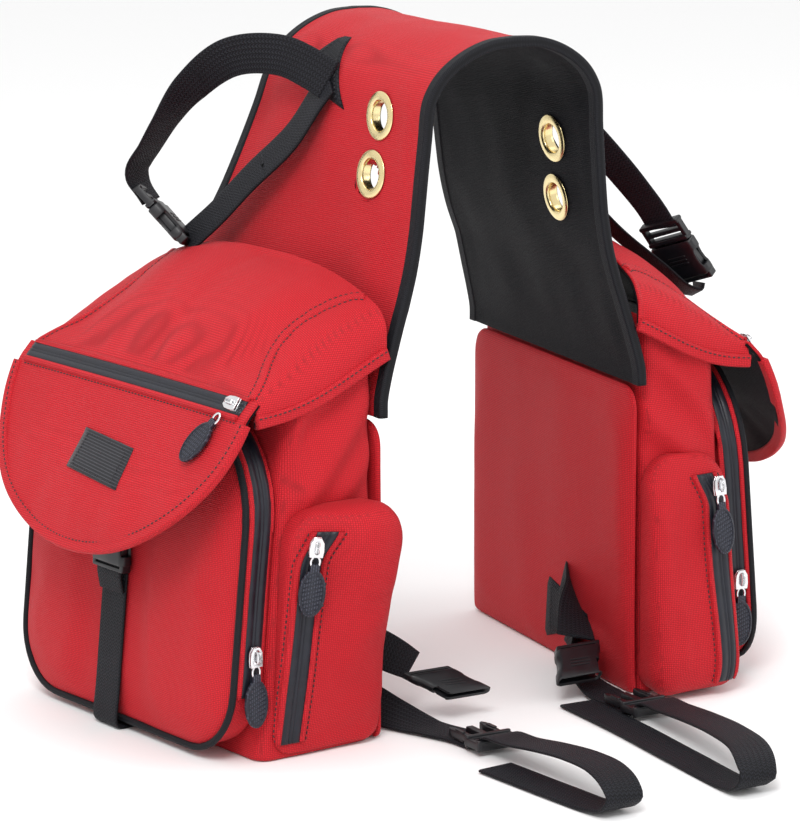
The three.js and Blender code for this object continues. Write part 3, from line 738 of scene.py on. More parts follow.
def girth_straps(side):
    made = {}
    for leg, count in (("short", 26), ("long", 150)):
        points = np.array(GIRTH[side.name][leg], float) + CENTRING
        route = curve(points, count)
        raw = girth_across(side, len(points)).astype(float)
        across = along_route(route, points, raw)
        node = f"{side.name}_girth_{leg}_leg"
        strap = band(f"{side.name}_girth_{leg}_strap", route, across)
        settle(strap, "bag", webbing, "black_webbing", node)
        made[leg] = (strap, route)
    return made


def declare_girth(made):
    strap, route = made["long"]
    path = (route * MM).tolist()
    length = length_of(route) * MM
    short, route = made["short"]
    length = length_of(route) * MM


for made in [girth_straps(side) for side in SIDES]:
    declare_girth(made)


# ---------------------------------------------------------------- sewn shapes
def boundary(outline, n, arc):
    """A rounded outline as 4n points that start at its right top corner."""
    middles = [k * (arc + 1) + arc // 2 for k in range(4)]
    ring = []
    for k in range(4):
        a, b = middles[k], middles[(k + 1) % 4]
        run = outline[a:b + 1] if b > a else np.vstack([outline[a:], outline[:b + 1]])
        ring.append(spaced(run, n + 1)[:-1])
    return np.vstack(ring)


def edge_place(s, t, n):
    """Where a point of the unit square's edge comes on the boundary."""
    if t > 0.999999:
        return n * (1 - s) / 2
    if s < -0.999999:
        return n + n * (1 - t) / 2
    if t < -0.999999:
        return 2 * n + n * (s + 1) / 2
    return 3 * n + n * (t + 1) / 2


def pillow(name, levels, crown, place, n=48, arc=8):
    """A sewn pocket: walls through outlines at rising shares, then one crowned face.
    Returns the object, the share of every vertex and the loops of its walls."""
    rings = [(share, boundary(outline, n, arc)) for share, outline in levels]
    rim = rings[-1][1]
    centre = (rim.max(0) + rim.min(0)) / 2
    flat, shares, index = [], [], {}
    for i in range(n + 1):
        for j in range(n + 1):
            s, t = 2 * i / n - 1, 2 * j / n - 1
            m = max(abs(s), abs(t))
            index[i, j] = len(flat)
            if m < 1e-9:
                flat.append(centre)
            else:
                p = edge_place(s / m, t / m, n) % (4 * n)
                a, b = int(p) % (4 * n), (int(p) + 1) % (4 * n)
                flat.append(centre + (lerp(rim[a], rim[b], p - int(p)) - centre) * m)
            shares.append(crown(m))
    faces = []
    for i in range(n):
        for j in range(n):
            faces.append([index[i, j], index[i + 1, j], index[i + 1, j + 1], index[i, j + 1]])
    loop = ([index[n - k, n] for k in range(n)] + [index[0, n - k] for k in range(n)]
            + [index[k, 0] for k in range(n)] + [index[n, k] for k in range(n)])
    loops = [loop]
    for share, ring in reversed(rings[:-1]):
        start = len(flat)
        flat.extend(ring)
        shares.extend([share] * len(ring))
        new = list(range(start, start + len(ring)))
        above = loops[-1]
        for k in range(len(ring)):
            b = (k + 1) % len(ring)
            faces.append([above[k], above[b], new[b], new[k]])
        loops.append(new)
    faces.extend(strip_faces(loops[-1]))
    points = np.array([place(p, s) for p, s in zip(flat, shares)])
    obj = make_object(name, points, faces)
    fix_normals(obj)
    return obj, np.array(shares), loops


def fix_normals(obj):
    with editing(obj) as bm:
        bmesh.ops.recalc_face_normals(bm, faces=bm.faces)
    obj.data.shade_smooth()


def ripple(obj, amount, size, seed, weight=None, stretch=(1, 1, 1)):
    """Moves a surface in and out by soft noise."""
    co = coordinates(obj)
    nrm = vertex_normals(obj)
    scaled = co / size * np.array(stretch) + seed * 17.3
    value = np.array([noise.noise(Vector(p)) for p in scaled])
    if weight is not None:
        value = value * weight
    set_coordinates(obj, co + nrm * (value * amount)[:, None])


def applied(name, skin, rows, heights, sink=0.8, towards=None, reach=30.0):
    """A thin piece laid on a surface: rows of points dropped on it, with a height for each column."""
    rows = np.asarray(rows, float)
    n, m = rows.shape[:2]
    t = None if towards is None else np.repeat(np.asarray(towards, float)[:, None], m, 1).reshape(-1, 3)
    at, nrm = skin.on(rows.reshape(-1, 3), t, reach)
    at, nrm = at.reshape(n, m, 3), nrm.reshape(n, m, 3)
    for _ in range(2):
        nrm[1:-1] = nrm[:-2] + nrm[1:-1] * 2 + nrm[2:]
        nrm = unit(nrm)
    heights = np.asarray(heights, float)
    top = at + nrm * heights[None, :, None]
    below = at - nrm * sink
    made = np.concatenate([top, below[:, ::-1]], 1)
    across = running(rows[0])
    u = np.concatenate([across, across[::-1], across[:1]])
    run = running(rows[:, m // 2])
    uv = np.stack(np.meshgrid(u, np.append(run, run[-1])), 2)
    obj = grid(name, made, loop_columns=True, cap=True, uv=uv)
    fix_normals(obj)
    return obj


def lane(line, across, offsets):
    """Rows of points to both sides of a line."""
    return line[:, None] + unit(across)[:, None] * np.asarray(offsets, float)[None, :, None]


ZIP_OFFSETS = np.array([-7, -6.6, -4.6, -1.7, -1.35, -0.5, 0, 0.5, 1.35, 1.7, 4.6, 6.6, 7])
ZIP_HEIGHTS = np.array([0.5, 1.0, 1.15, 1.25, 0.5, 1.2, 1.35, 1.2, 0.5, 1.25, 1.15, 1.0, 0.5])
FOLD_OFFSETS = np.array([-1.9, -1.6, -0.7, 0.5, 1.5, 1.9])
FOLD_HEIGHTS = np.array([0.3, 1.5, 2.1, 1.9, 1.2, 0.2])


def thread_row(name, skin, line, towards=None, gap=3.3, length=2.4, radius=0.42):
    at, nrm = skin.on(line, towards)
    run = spaced(at, max(int(length_of(at) / 2), 8))
    _, nrm = skin.on(run, None)
    return stitches(name, run, nrm, gap, length, radius)


def sewn_zip(name, body, side, skin, line, across, towards, half, threads=True):
    """A zip: coated tape with a raised middle, a folded edge of cloth to each side and its stitching."""
    scale = half / 7.0
    rows = lane(line, across, ZIP_OFFSETS * scale)
    strip = applied(f"{name}_tape", skin, rows, ZIP_HEIGHTS, towards=towards)
    settle(strip, body, tape, "zip_tape", name)
    red = SIDE_RED[side.name]
    for k, sign in enumerate((-1, 1)):
        middle = sign * (half + 1.3)
        fold = applied(f"{name}_fold_{k}", skin, lane(line, across, middle + FOLD_OFFSETS), FOLD_HEIGHTS,
                       towards=towards)
        settle(fold, body, red, "red_cloth")
        if threads:
            row = lane(line, across, [sign * (half + 4.3)])[:, 0]
            threads_made = thread_row(f"{name}_thread_{k}", skin, row, towards)
            settle(threads_made, body, thread_black, "black_cloth")


# ---------------------------------------------------------------- back panel and main compartment
def make_back_panel(side):
    outline = rounded(-PANEL_HALF, PANEL_HALF, 0, PANEL_HIGH, (14, 14, 3, 3), arc=8)

    def place(p, share):
        return side.at([5 - 5 * share, p[0], p[1]])

    def crown(m):
        return 1.0 + 0.35 * (1 - m ** 4)

    inner = (outline - outline.mean(0)) * 0.985 + outline.mean(0)
    levels = [(0, outline), (0.5, outline), (1.0, inner)]
    panel, shares, _ = pillow(f"{side.name}_back_cloth", levels, crown, place, 44)
    puff(panel, 2.0, 3.0, np.where(shares < 1.02, 1.0, 0.0), grow=0.02)
    ripple(panel, 1.6, 46, side.seed, shares > 1.1, (1, 1, 0.6))
    subdivide(panel)
    settle(panel, "bag", SIDE_RED[side.name], "red_cloth", f"{side.name}_back_panel")
    return Skin(panel)


# Creases on a pouch's ends: u and z of each end, half its width and its height.
FOLDS = ((60, 160, 20, 205, 9, 4.5), (74, 182, 34, 226, 8, 4.0), (40, 150, 12, 178, 8, 3.5),
         (70, 205, 60, 150, 6, 3.0))


def fold_height(u, z, seed):
    """Slanting creases in loose cloth."""
    height = np.zeros_like(u)
    for k, (u0, z0, u1, z1, wide, high) in enumerate(FOLDS):
        shift = 7 * math.sin(seed + 2.3 * k)
        a, b = np.array([u0 + shift, z0]), np.array([u1 + shift, z1])
        d = (b - a) / np.linalg.norm(b - a)
        along = (u - a[0]) * d[0] + (z - a[1]) * d[1]
        off = (u - a[0]) * -d[1] + (z - a[1]) * d[0]
        share = np.clip(along / np.linalg.norm(b - a), -0.4, 1.4)
        fade = ease((share + 0.4) / 0.5) * ease((1.4 - share) / 0.5)
        crest, hollow = np.exp(-(off / wide) ** 2), np.exp(-((off - 1.5 * wide) / wide) ** 2)
        height += high * fade * (crest - 0.55 * hollow)
    return height


def make_compartment(side):
    rows, columns = 64, 176
    shares = np.linspace(0, 1, rows)
    rings = []
    for share in shares:
        front = side.main_depth(share * FRONT_HIGH)
        outline = rounded(6, front, -HALF_LONG, HALF_LONG, (9, 9, 9, 9), arc=6)
        ring = spaced(outline, columns, closed=True)
        z = share * (BACK_HIGH + (FRONT_HIGH - BACK_HIGH) * (ring[:, 0] - 6) / (front - 6))
        rings.append(np.column_stack([ring, z]))
    floor = []
    for inset, z in ((5, 0.8), (12, 1.0)):
        outline = rounded(6 + inset, side.main_depth(0) - inset, inset - HALF_LONG, HALF_LONG - inset,
                          (6, 6, 6, 6), arc=6)
        floor.insert(0, np.column_stack([spaced(outline, columns, closed=True), np.full(columns, z)]))
    local = np.array(floor + rings)
    obj = grid(f"{side.name}_compartment_cloth", side.at(local), loop_columns=True)
    add_faces(obj, strip_faces(list(range(columns))))
    fix_normals(obj)
    flat = local.reshape(-1, 3)
    u, v, z = flat.T
    depth = side.main_depth(np.clip(z, 0, FRONT_HIGH))
    corner = np.minimum(np.abs(u - 6), np.abs(u - depth)) < 3
    pinned = np.where(z < 3, 1.0, 0.0)
    pinned = np.maximum(pinned, np.where((np.abs(v) < 100), 0.96, 0.0))
    pinned = np.maximum(pinned, np.where(corner, 0.8, 0.0))
    pinned = np.maximum(pinned, np.clip((z - 196) / 30, 0, 0.75))
    puff(obj, 4.0, 9.0, pinned, grow=0.055, seed_push=0.5)
    co = coordinates(obj)
    middle = np.clip(1 - np.abs((u - depth / 2) / (depth / 2)) ** 6, 0, 1)
    loose = (np.abs(v) > 108) * ease((z - 135) / 25) * middle
    lift = fold_height(u, z, side.sign) * loose
    outward = side.turn(np.column_stack([np.zeros_like(u), np.sign(v), np.zeros_like(u)]))
    set_coordinates(obj, co + outward * lift[:, None])
    solidify(obj, 2.4)
    subdivide(obj)
    settle(obj, "bag", SIDE_RED[side.name], "red_cloth", f"{side.name}_main_compartment")
    return obj


def strip_faces(loop):
    """Fills a loop with a strip of faces between its first and second halves."""
    n = len(loop)
    return [[loop[j], loop[j + 1], loop[n - 2 - j], loop[n - 1 - j]] for j in range(n // 2 - 1)]


def add_faces(obj, loops):
    with editing(obj) as bm:
        bm.verts.ensure_lookup_table()
        for corners in loops:
            bm.faces.new([bm.verts[i] for i in corners])


# ---------------------------------------------------------------- pockets
def front_outline(inset, arc=8):
    radii = [62 - inset, 62 - inset, 38 - inset, 38 - inset]
    return rounded(inset - 110, 110 - inset, 7 + inset, 203 - inset, radii, arc)


def make_front_pocket(side):
    red = SIDE_RED[side.name]
    name = f"{side.name}_front"
    insets = ((0, 2.0), (0.1, 0.3), (0.3, 0), (0.5, 0), (0.7, 0), (0.86, 0))
    levels = [(s, front_outline(i)) for s, i in insets]

    def place(p, share):
        return side.at([side.front_at(p[1], share), p[0], p[1]])

    def crown(m):
        return 0.86 + 0.21 * float(np.clip((1 - m) / 0.3, 0, 1)) ** 0.6

    pocket, shares, loops = pillow(f"{name}_pocket_cloth", levels, crown, place, 56)
    pinned = np.where(shares < 0.02, 1.0, 0.0)
    pinned = np.maximum(pinned, np.where(np.abs(shares - 0.86) < 0.001, 0.93, 0.0))
    strap_gap = np.abs((coordinates(pocket) - side.at([0, CLOSURE_V, 0])) @ side.V)
    pinned = np.maximum(pinned, 0.97 * (1 - ease((strap_gap - 14) / 22)))
    puff(pocket, 3.0, 4.0, pinned, grow=0.025)
    seam = coordinates(pocket)[loops[0]]
    outward = unit(vertex_normals(pocket)[loops[0]])
    loose = ease((shares - 0.9) / 0.1) * ease((strap_gap - 14) / 22)
    ripple(pocket, 1.5, 42, side.seed + 2, loose, (1, 1, 0.55))
    subdivide(pocket)
    settle(pocket, "bag", red, "red_cloth", f"{name}_pocket")
    skin = Skin(pocket)
    line = spaced(seam + outward * 1.1, 260, closed=True)
    cord = tube(f"{name}_piping_cord", line, 2.1, closed=True, up=side.U)
    settle(cord, "bag", binding, "black_cloth", f"{name}_piping")
    edge = spaced(front_outline(-0.5), 400, closed=True)
    edge = edge[edge[:, 1] > 40]
    edge = edge[np.argsort(np.arctan2(edge[:, 0], edge[:, 1] - 40))]
    line = np.array([side.at([side.front_at(z, ZIP_SHARE), v, z]) for v, z in edge])
    line = spaced(line, 170)
    inward = unit(side.at([side.front_at(110, ZIP_SHARE), 0, 105]) - line)
    inward -= (inward @ side.U)[:, None] * side.U
    across = np.tile(side.U, (len(line), 1))
    sewn_zip(f"{name}_zip", "bag", side, skin, line, across, unit(inward), 6.4 * side.fill, False)
    return skin


def bulge_at(side, z):
    return lerp(side.bulge[0], side.bulge[1], np.clip(np.asarray(z, float) / SIDE_HIGH, 0, 1))


def swelling(side, u, z):
    """How far the side pocket stands out. It swells less towards its front edge."""
    return max(float(bulge_at(side, z)), 6.0) * lerp(1, side.front_swell, float(ease((u - 30) / 42)))


def side_front(side, z):
    return side.fill * (82 + (75 - 82) * z / SIDE_HIGH)


def side_seat(side, z, inset=12.0):
    """A point of the side pocket's zip, the direction across it and the direction out of the cloth."""
    def on_face(back, share):
        u = side_front(side, z) - back
        return np.array([u, -(113.6 + share * swelling(side, u, z)), z])

    inner, outer = on_face(inset + 4, 1.02), on_face(inset - 4, 0.97)
    across = unit(outer - inner)
    normal = np.array([across[1], -across[0], 0])
    return (inner + outer) / 2 + normal * 2.6, across, normal


def make_side_pocket(side):
    red = SIDE_RED[side.name]
    name = f"{side.name}_side"
    width = side_front(side, 0) - 5

    def outline(inset):
        return rounded(inset, width - inset, 3 + inset, SIDE_HIGH - inset, (24, 20, 12, 14), arc=8)

    def place(p, share):
        u = 5 + p[0] * (side_front(side, p[1]) - 5) / width
        return side.at([u, -(112.6 + share * swelling(side, u, p[1])), p[1]])

    def crown(m):
        return 0.62 + 0.38 * math.sqrt(max(0.0, 1 - (max(m - 0.66, 0) / 0.34) ** 2))

    insets = ((0, 0.8), (0.12, 0), (0.3, 0), (0.48, 0), (0.62, 0.4))
    levels = [(s, outline(i)) for s, i in insets]
    pocket, shares, _ = pillow(f"{name}_pocket_cloth", levels, crown, place, 48)
    local = coordinates(pocket)
    height = local[:, 2]
    pinned = np.where(shares < 0.02, 1.0, 0.0)
    pinned = np.maximum(pinned, np.clip((20 - height) / 20, 0, 0.85))
    zip_line = side.at(np.array([side_seat(side, z)[0] for z in np.linspace(10, 139, 44)]))
    zip_gap = np.linalg.norm(local[:, None] - zip_line[None], axis=2).min(axis=1)
    pinned = np.maximum(pinned, 0.97 * (1 - ease((zip_gap - 12) / 20)))
    puff(pocket, 4.0, 6.0, pinned, grow=0.04, seed_push=0.5)
    ripple(pocket, 2.6, 34, side.seed + 4, ease((shares - 0.3) / 0.4), (1, 1, 0.5))
    subdivide(pocket)
    settle(pocket, "bag", red, "red_cloth", f"{name}_pocket")
    skin = Skin(pocket)
    heights = np.linspace(10, 139, 66)
    curl = ease((heights - 118) / 24) * 8
    line = side.at(np.array([side_seat(side, z, 11 + c)[0] for z, c in zip(heights, curl)]))
    across = side.turn(np.array([side_seat(side, z, 11)[1] for z in heights]))
    towards = side.turn(np.array([-side_seat(side, z, 11)[2] for z in heights]))
    sewn_zip(f"{name}_zip", "bag", side, skin, line, across, towards, 6.6)
    return skin


# ---------------------------------------------------------------- flap
def roof_profile(share, t):
    """Height of the roof at a share of its depth and t across, from -1 to 1."""
    seam = lerp(ROOF_BACK, ZIP_LINE, share)
    rise = 22 * (1 - share * share) + 1.5
    return seam + rise * (1 - np.abs(t) ** 2.5)


def ear_bottom(share):
    """The ear's lower edge, which dips a little between its ends."""
    return lerp(ROOF_BACK, ZIP_LINE, share) - lerp(27, 16, share) - 5.5 * math.sin(math.pi * share ** 1.3)


# The welt on the roof: u and v of its points, from the zip to the yoke.
SEAM = np.array([(93.5, 112), (86, 108), (79, 103), (70, 95.5), (60, 89.5), (45, 86), (30, 87), (18, 90),
                 (8, 94), (2, 99)])


def hinge_blend(side, obj):
    """Frees a flap piece from its parent and bakes its place into its mesh; the hinge where the flap is sewn
    to the yoke is worked out but not used to bend it.
    """
    start, end = side.at([0, 0, 262]) * MM, side.at([26, 0, 252]) * MM
    world = obj.matrix_world.copy()
    obj.parent = None
    obj.matrix_world = world
    tuple(start)
    tuple(end)
    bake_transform(obj)


def flap_piece(side, obj, material, slot, *replaced):
    obj.data.materials.clear()
    obj.data.materials.append(material)
    hinge_blend(side, obj)
    if replaced:
        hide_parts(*replaced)
    return obj


def make_roof(side):
    red = SIDE_RED[side.name]
    name = f"{side.name}_flap"
    length = ROOF_DEPTH * side.fill
    rows, top, ear = 48, 96, 10
    local = []
    for share in np.linspace(0, 1, rows):
        u = lerp(0.5, length + 1.5, share)
        t = np.linspace(-1, 1, top + 1)
        arch = np.column_stack([np.full(top + 1, u), t * ROOF_HALF, roof_profile(share, t)])
        seam, low = lerp(ROOF_BACK, ZIP_LINE, share), ear_bottom(share)
        drop = np.linspace(low, seam, ear + 1)[:-1]
        near = np.column_stack([np.full(ear, u), np.full(ear, -ROOF_HALF), drop])
        far = np.column_stack([np.full(ear, u), np.full(ear, ROOF_HALF), drop[::-1]])
        row = np.vstack([near, arch, far])
        turn = 12.0 + 10.0 * math.sin(math.pi * min(share * 1.05, 1.0))
        for sign in (-1, 1):
            below = np.abs(row[:, 2] - np.where(row[:, 2] < seam, seam, row[:, 2]))
            off = np.abs(np.abs(row[:, 1]) - ROOF_HALF) + below
            near_edge = (np.sign(row[:, 1]) == sign) & (off < turn)
            pull = (1 - off / turn) ** 2 * turn * 0.25
            towards = np.array([-sign * 1.0, -0.8])
            row[near_edge, 1:] += (towards * pull[near_edge, None])
        local.append(row)
    local = np.array(local)
    obj = grid(f"{name}_roof_cloth", side.at(local))
    fix_normals(obj)
    if vertex_normals(obj)[(rows // 2) * local.shape[1] + local.shape[1] // 2][2] < 0:
        obj.data.flip_normals()
    u, v, z = local.reshape(-1, 3).T
    row = np.repeat(np.linspace(0, 1, rows), local.shape[1])
    on_ear = np.abs(v) > ROOF_HALF - 3
    seam_v = np.interp(u / side.fill, SEAM[::-1, 0], SEAM[::-1, 1])
    ridge = np.abs(np.abs(v) - seam_v) < 2.5
    pinned = np.where((row < 0.03) | (row > 0.97), 1.0, 0.0)
    pinned = np.maximum(pinned, np.where(ridge, 0.85, 0.0))
    pinned = np.maximum(pinned, np.where(on_ear, 0.3, 0.0))
    pinned = np.maximum(pinned, np.where(np.abs(z - np.array([ear_bottom(r) for r in row])) < 4, 0.7, 0.0))
    puff(obj, 2.4, 5.0, pinned, grow=0.02)
    ripple(obj, 2.2, 52, side.seed + 6, np.where(pinned > 0.3, 0.15, 1.0))
    outer = coordinates(obj).reshape(rows, -1, 3)
    copy = obj.copy()
    copy.data = obj.data.copy()
    bpy.context.scene.collection.objects.link(copy)
    copy.name = f"{name}_roof_lining"
    set_coordinates(copy, coordinates(obj) - vertex_normals(obj) * 2.0)
    solidify(copy, 1.2)
    flap_piece(side, copy, black_cloth, "black_cloth")
    declare_sheet(local)
    solidify(obj, 1.9)
    subdivide(obj)
    flap_piece(side, obj, red, "red_cloth", f"{name}_roof")
    declare_sheet(local)
    skin = Skin(obj)
    for k, sign in enumerate((-1, 1)):
        over = np.column_stack([SEAM[:, 0] * side.fill, sign * SEAM[:, 1], np.full(len(SEAM), 300.0)])
        flat = curve(over, 90)
        down = np.tile([0, 0, -1.0], (len(flat), 1))
        line, _ = skin.on(side.at(flat), down, 90)
        along = unit(np.gradient(line, axis=0))
        across = unit(np.cross(along, np.tile([0, 0, 1.0], (len(line), 1))))
        welt = applied(f"{name}_seam_{k}", skin, lane(line, across, [-2.6, -2.2, -1.1, 0, 1.1, 2.2, 2.6]),
                       [0.2, 0.7, 1.25, 1.4, 1.25, 0.7, 0.2], towards=down)
        flap_piece(side, welt, red, "red_cloth")
        for j, shift in enumerate((-2.9, 2.9)):
            beside = lane(line, across, [shift])[:, 0]
            row_piece = thread_row(f"{name}_seam_thread_{k}{j}", skin, beside, down)
            flap_piece(side, row_piece, thread_black, "black_cloth")
        low = outer[:, 0 if sign < 0 else -1]
        facing = side.turn([0, sign, 0])
        up = np.tile([0, 0, 1.0], (60, 1))
        line = curve(low, 60) + up * 3.6 + facing * -0.9
        hem = sweep(f"{name}_ear_hem_{k}", line, up, strap_section(8.2, 4.8))
        fix_normals(hem)
        flap_piece(side, hem, red, "red_cloth")
        hem_skin = Skin(hem)
        row_piece = thread_row(f"{name}_ear_thread_{k}", hem_skin, line + up * 2.2 + facing * 2.5)
        flap_piece(side, row_piece, thread_black, "black_cloth")
    return obj


LIP_NORMAL = np.array([math.cos(LIP_TILT), 0, math.sin(LIP_TILT)])
LIP_DOWN = np.array([math.sin(LIP_TILT), 0, -math.cos(LIP_TILT)])
ZIP_BAND = 13.0


def lip_point(side, v, d):
    """A point of the lip's outer face: v along, and d down from the end of the roof."""
    f = ROOF_DEPTH * side.fill
    t = v / ROOF_HALF
    start = np.array([f + 1.5, v, 217.6 + 1.5 * (1 - t * t)])
    turn_at = np.array([f + 10.4, v, 208.4])
    soft = 4.0
    if d < ZIP_BAND:
        p = lerp(start, turn_at, d / ZIP_BAND)
    else:
        p = turn_at + LIP_DOWN * (d - ZIP_BAND)
    if abs(d - ZIP_BAND) < soft:
        a = lerp(start, turn_at, (ZIP_BAND - soft) / ZIP_BAND)
        b = turn_at + LIP_DOWN * soft
        s = (d - ZIP_BAND + soft) / (2 * soft)
        p = lerp(lerp(a, turn_at, s), lerp(turn_at, b, s), s)
    run = max(d - ZIP_BAND, 0) / (LIP_DROP)
    crown = 4.5 * float(ease((run - 0.28) / 0.3)) * float(ease((1.02 - run) / 0.35)) * max(1 - t * t, 0)
    return p + LIP_NORMAL * crown


def lip_reach(v):
    return ZIP_BAND + 6 + (LIP_DROP - 8) * math.sqrt(max(0.0, 1 - (v / ROOF_HALF) ** 2))


def make_lip(side):
    red = SIDE_RED[side.name]
    name = f"{side.name}_flap"
    body = f"{side.name}_flap"
    rows, columns = 52, 120
    along = -ROOF_HALF * np.cos(np.linspace(0, math.pi, columns + 1))
    local = np.array([[lip_point(side, v, r * lip_reach(v)) for v in along] for r in np.linspace(0, 1, rows)])
    obj = grid(f"{name}_lip_cloth", side.at(local))
    if vertex_normals(obj)[(rows // 2) * (columns + 1) + columns // 2] @ side.U < 0:
        obj.data.flip_normals()
    share = np.repeat(np.linspace(0, 1, rows), columns + 1)
    v = local.reshape(-1, 3)[:, 1]
    reach = np.array([lip_reach(x) for x in v])
    held = np.where(share * reach < ZIP_BAND + 2, 1.0, np.where(share > 0.97, 0.75, 0.0))
    held = np.where(np.abs(v) > 117, 1.0, held)
    held = np.maximum(held, 0.9 * (1 - ease((share * reach - ZIP_BAND - 30) / 22)))
    puff(obj, 1.4, 3.5, held, grow=0.015)
    ripple(obj, 1.8, 48, side.seed + 8, (1 - held) * ease((share * reach - ZIP_BAND) / 20))
    outer = coordinates(obj).reshape(rows, columns + 1, 3)
    behind = (coordinates(obj) - vertex_normals(obj) * 2.3).reshape(rows, columns + 1, 3)
    lining = grid(f"{name}_lip_lining", behind[:-2, 3:-3])
    if vertex_normals(lining)[0] @ vertex_normals(obj)[0] < 0:
        lining.data.flip_normals()
    solidify(lining, 1.2)
    settle(lining, body, black_cloth, "black_cloth")
    declare_sheet(local[:-2, 3:-3])
    solidify(obj, 1.9)
    subdivide(obj)
    settle(obj, body, red, "red_cloth", f"{name}_lip")
    declare_sheet(local)
    skin = Skin(obj)
    # the hem goes down one end, round the bow and up the other end
    bow = outer[-1]
    inner = outer[-4]
    line = spaced(bow, 200)
    inward = spaced(inner, 200)
    normal = np.tile(side.turn(LIP_NORMAL), (200, 1))
    across = unit(inward - line)
    across = unit(across - (across * normal).sum(1, keepdims=True) * normal)
    centre = line + across * 3.4 - normal * 1.2
    hem = sweep(f"{name}_lip_hem", centre, across, strap_section(8.4, 4.8))
    fix_normals(hem)
    settle(hem, body, red, "red_cloth")
    hem_skin = Skin(hem)
    row_piece = thread_row(f"{name}_lip_thread", hem_skin, centre + across * 2.4 + normal * 2.6, gap=3.4)
    settle(row_piece, body, thread_black, "black_cloth")
    # the zip across the top
    stretch = np.linspace(-112, 112, 110)
    line = side.at(np.array([lip_point(side, v, 6.6) for v in stretch]))
    slope = unit(np.array([side.turn(lip_point(side, v, 9) - lip_point(side, v, 4)) for v in stretch]))
    towards = side.turn(np.tile([-0.82, 0, -0.57], (len(stretch), 1)))
    sewn_zip(f"{name}_zip", body, side, skin, line, slope, towards, 5.2)
    return skin


# ---------------------------------------------------------------- yoke
YOKE_LINE = [(104.8, 196.5), (104.4, 206), (101, 220), (96, 236), (89, 257), (80, 280), (73.5, 302),
             (70, 318), (66, 338), (62, 358), (58, 378), (50, 392), (36, 403), (18, 410), (0, 411.5)]
YOKE_ROWS, YOKE_COLUMNS = 96, 61
HOLE, HOLE_CUT, HOLE_PULL = 10.4, 11.5, 18  # an eyelet's hole, the faces cut for it and the edges drawn to it
profile = curve(YOKE_LINE, YOKE_ROWS + 1)
profile_tangent = unit(np.gradient(profile, axis=0))


def yoke_point(sign, row, across, offset):
    """A point of the yoke: row from its low edge to the ridge, across from its near edge to its far one."""
    x, z = (np.interp(row, np.arange(YOKE_ROWS + 1), profile[:, k]) for k in (0, 1))
    tx, tz = (np.interp(row, np.arange(YOKE_ROWS + 1), profile_tangent[:, k]) for k in (0, 1))
    weight = np.clip((380 - z) / 120, 0, 1)
    near = -102 + 4 * np.sin(math.pi * np.clip((z - 200) / 210, 0, 1))
    far = lerp(126, 80, ease((z - 190) / 230))
    y = lerp(near, far, across)
    toe = weight * (y - 12) * math.tan(TOE)
    x = x + np.where(x > 1, toe, 0) + offset * tz
    return np.stack(np.broadcast_arrays(sign * x, y, z - offset * tx), -1) + CENTRING


def yoke_rows():
    left = [(-1, r) for r in range(YOKE_ROWS)]
    return left + [(1, r) for r in range(YOKE_ROWS, -1, -1)]


def grommet_seats():
    seats = []
    across = (-50 + 98) / 196
    for side in SIDES:
        for level, z in zip(("upper", "lower"), side.grommets):
            row = float(np.interp(z, profile[:, 1], np.arange(YOKE_ROWS + 1)))
            centre = yoke_point(side.sign, row, across, 0.0)
            above, below = (yoke_point(side.sign, row + d, across, 0.0) for d in (0.5, -0.5))
            beyond, before = (yoke_point(side.sign, row, across + d, 0.0) for d in (0.01, -0.01))
            climb, along = above - below, beyond - before
            axis = unit(np.cross(climb, along))
            axis = axis * np.sign(axis[0]) * side.sign
            seats.append((f"{side.name}_{level}_grommet", centre, axis))
    return seats


SEATS = grommet_seats()


def yoke_wrinkle(points):
    value = np.array([noise.noise(Vector((p[0] / 60, p[1] / 48, p[2] / 75 + 3.7))) for p in points])
    fine = np.array([noise.noise(Vector((p[0] / 25 + 9, p[1] / 30, p[2] / 40))) for p in points])
    calm = np.ones(len(points))
    for _, centre, _ in SEATS:
        calm *= ease((np.linalg.norm(points - centre, axis=1) - 16) / 22)
    return (value * 2.6 + fine * 0.8) * calm


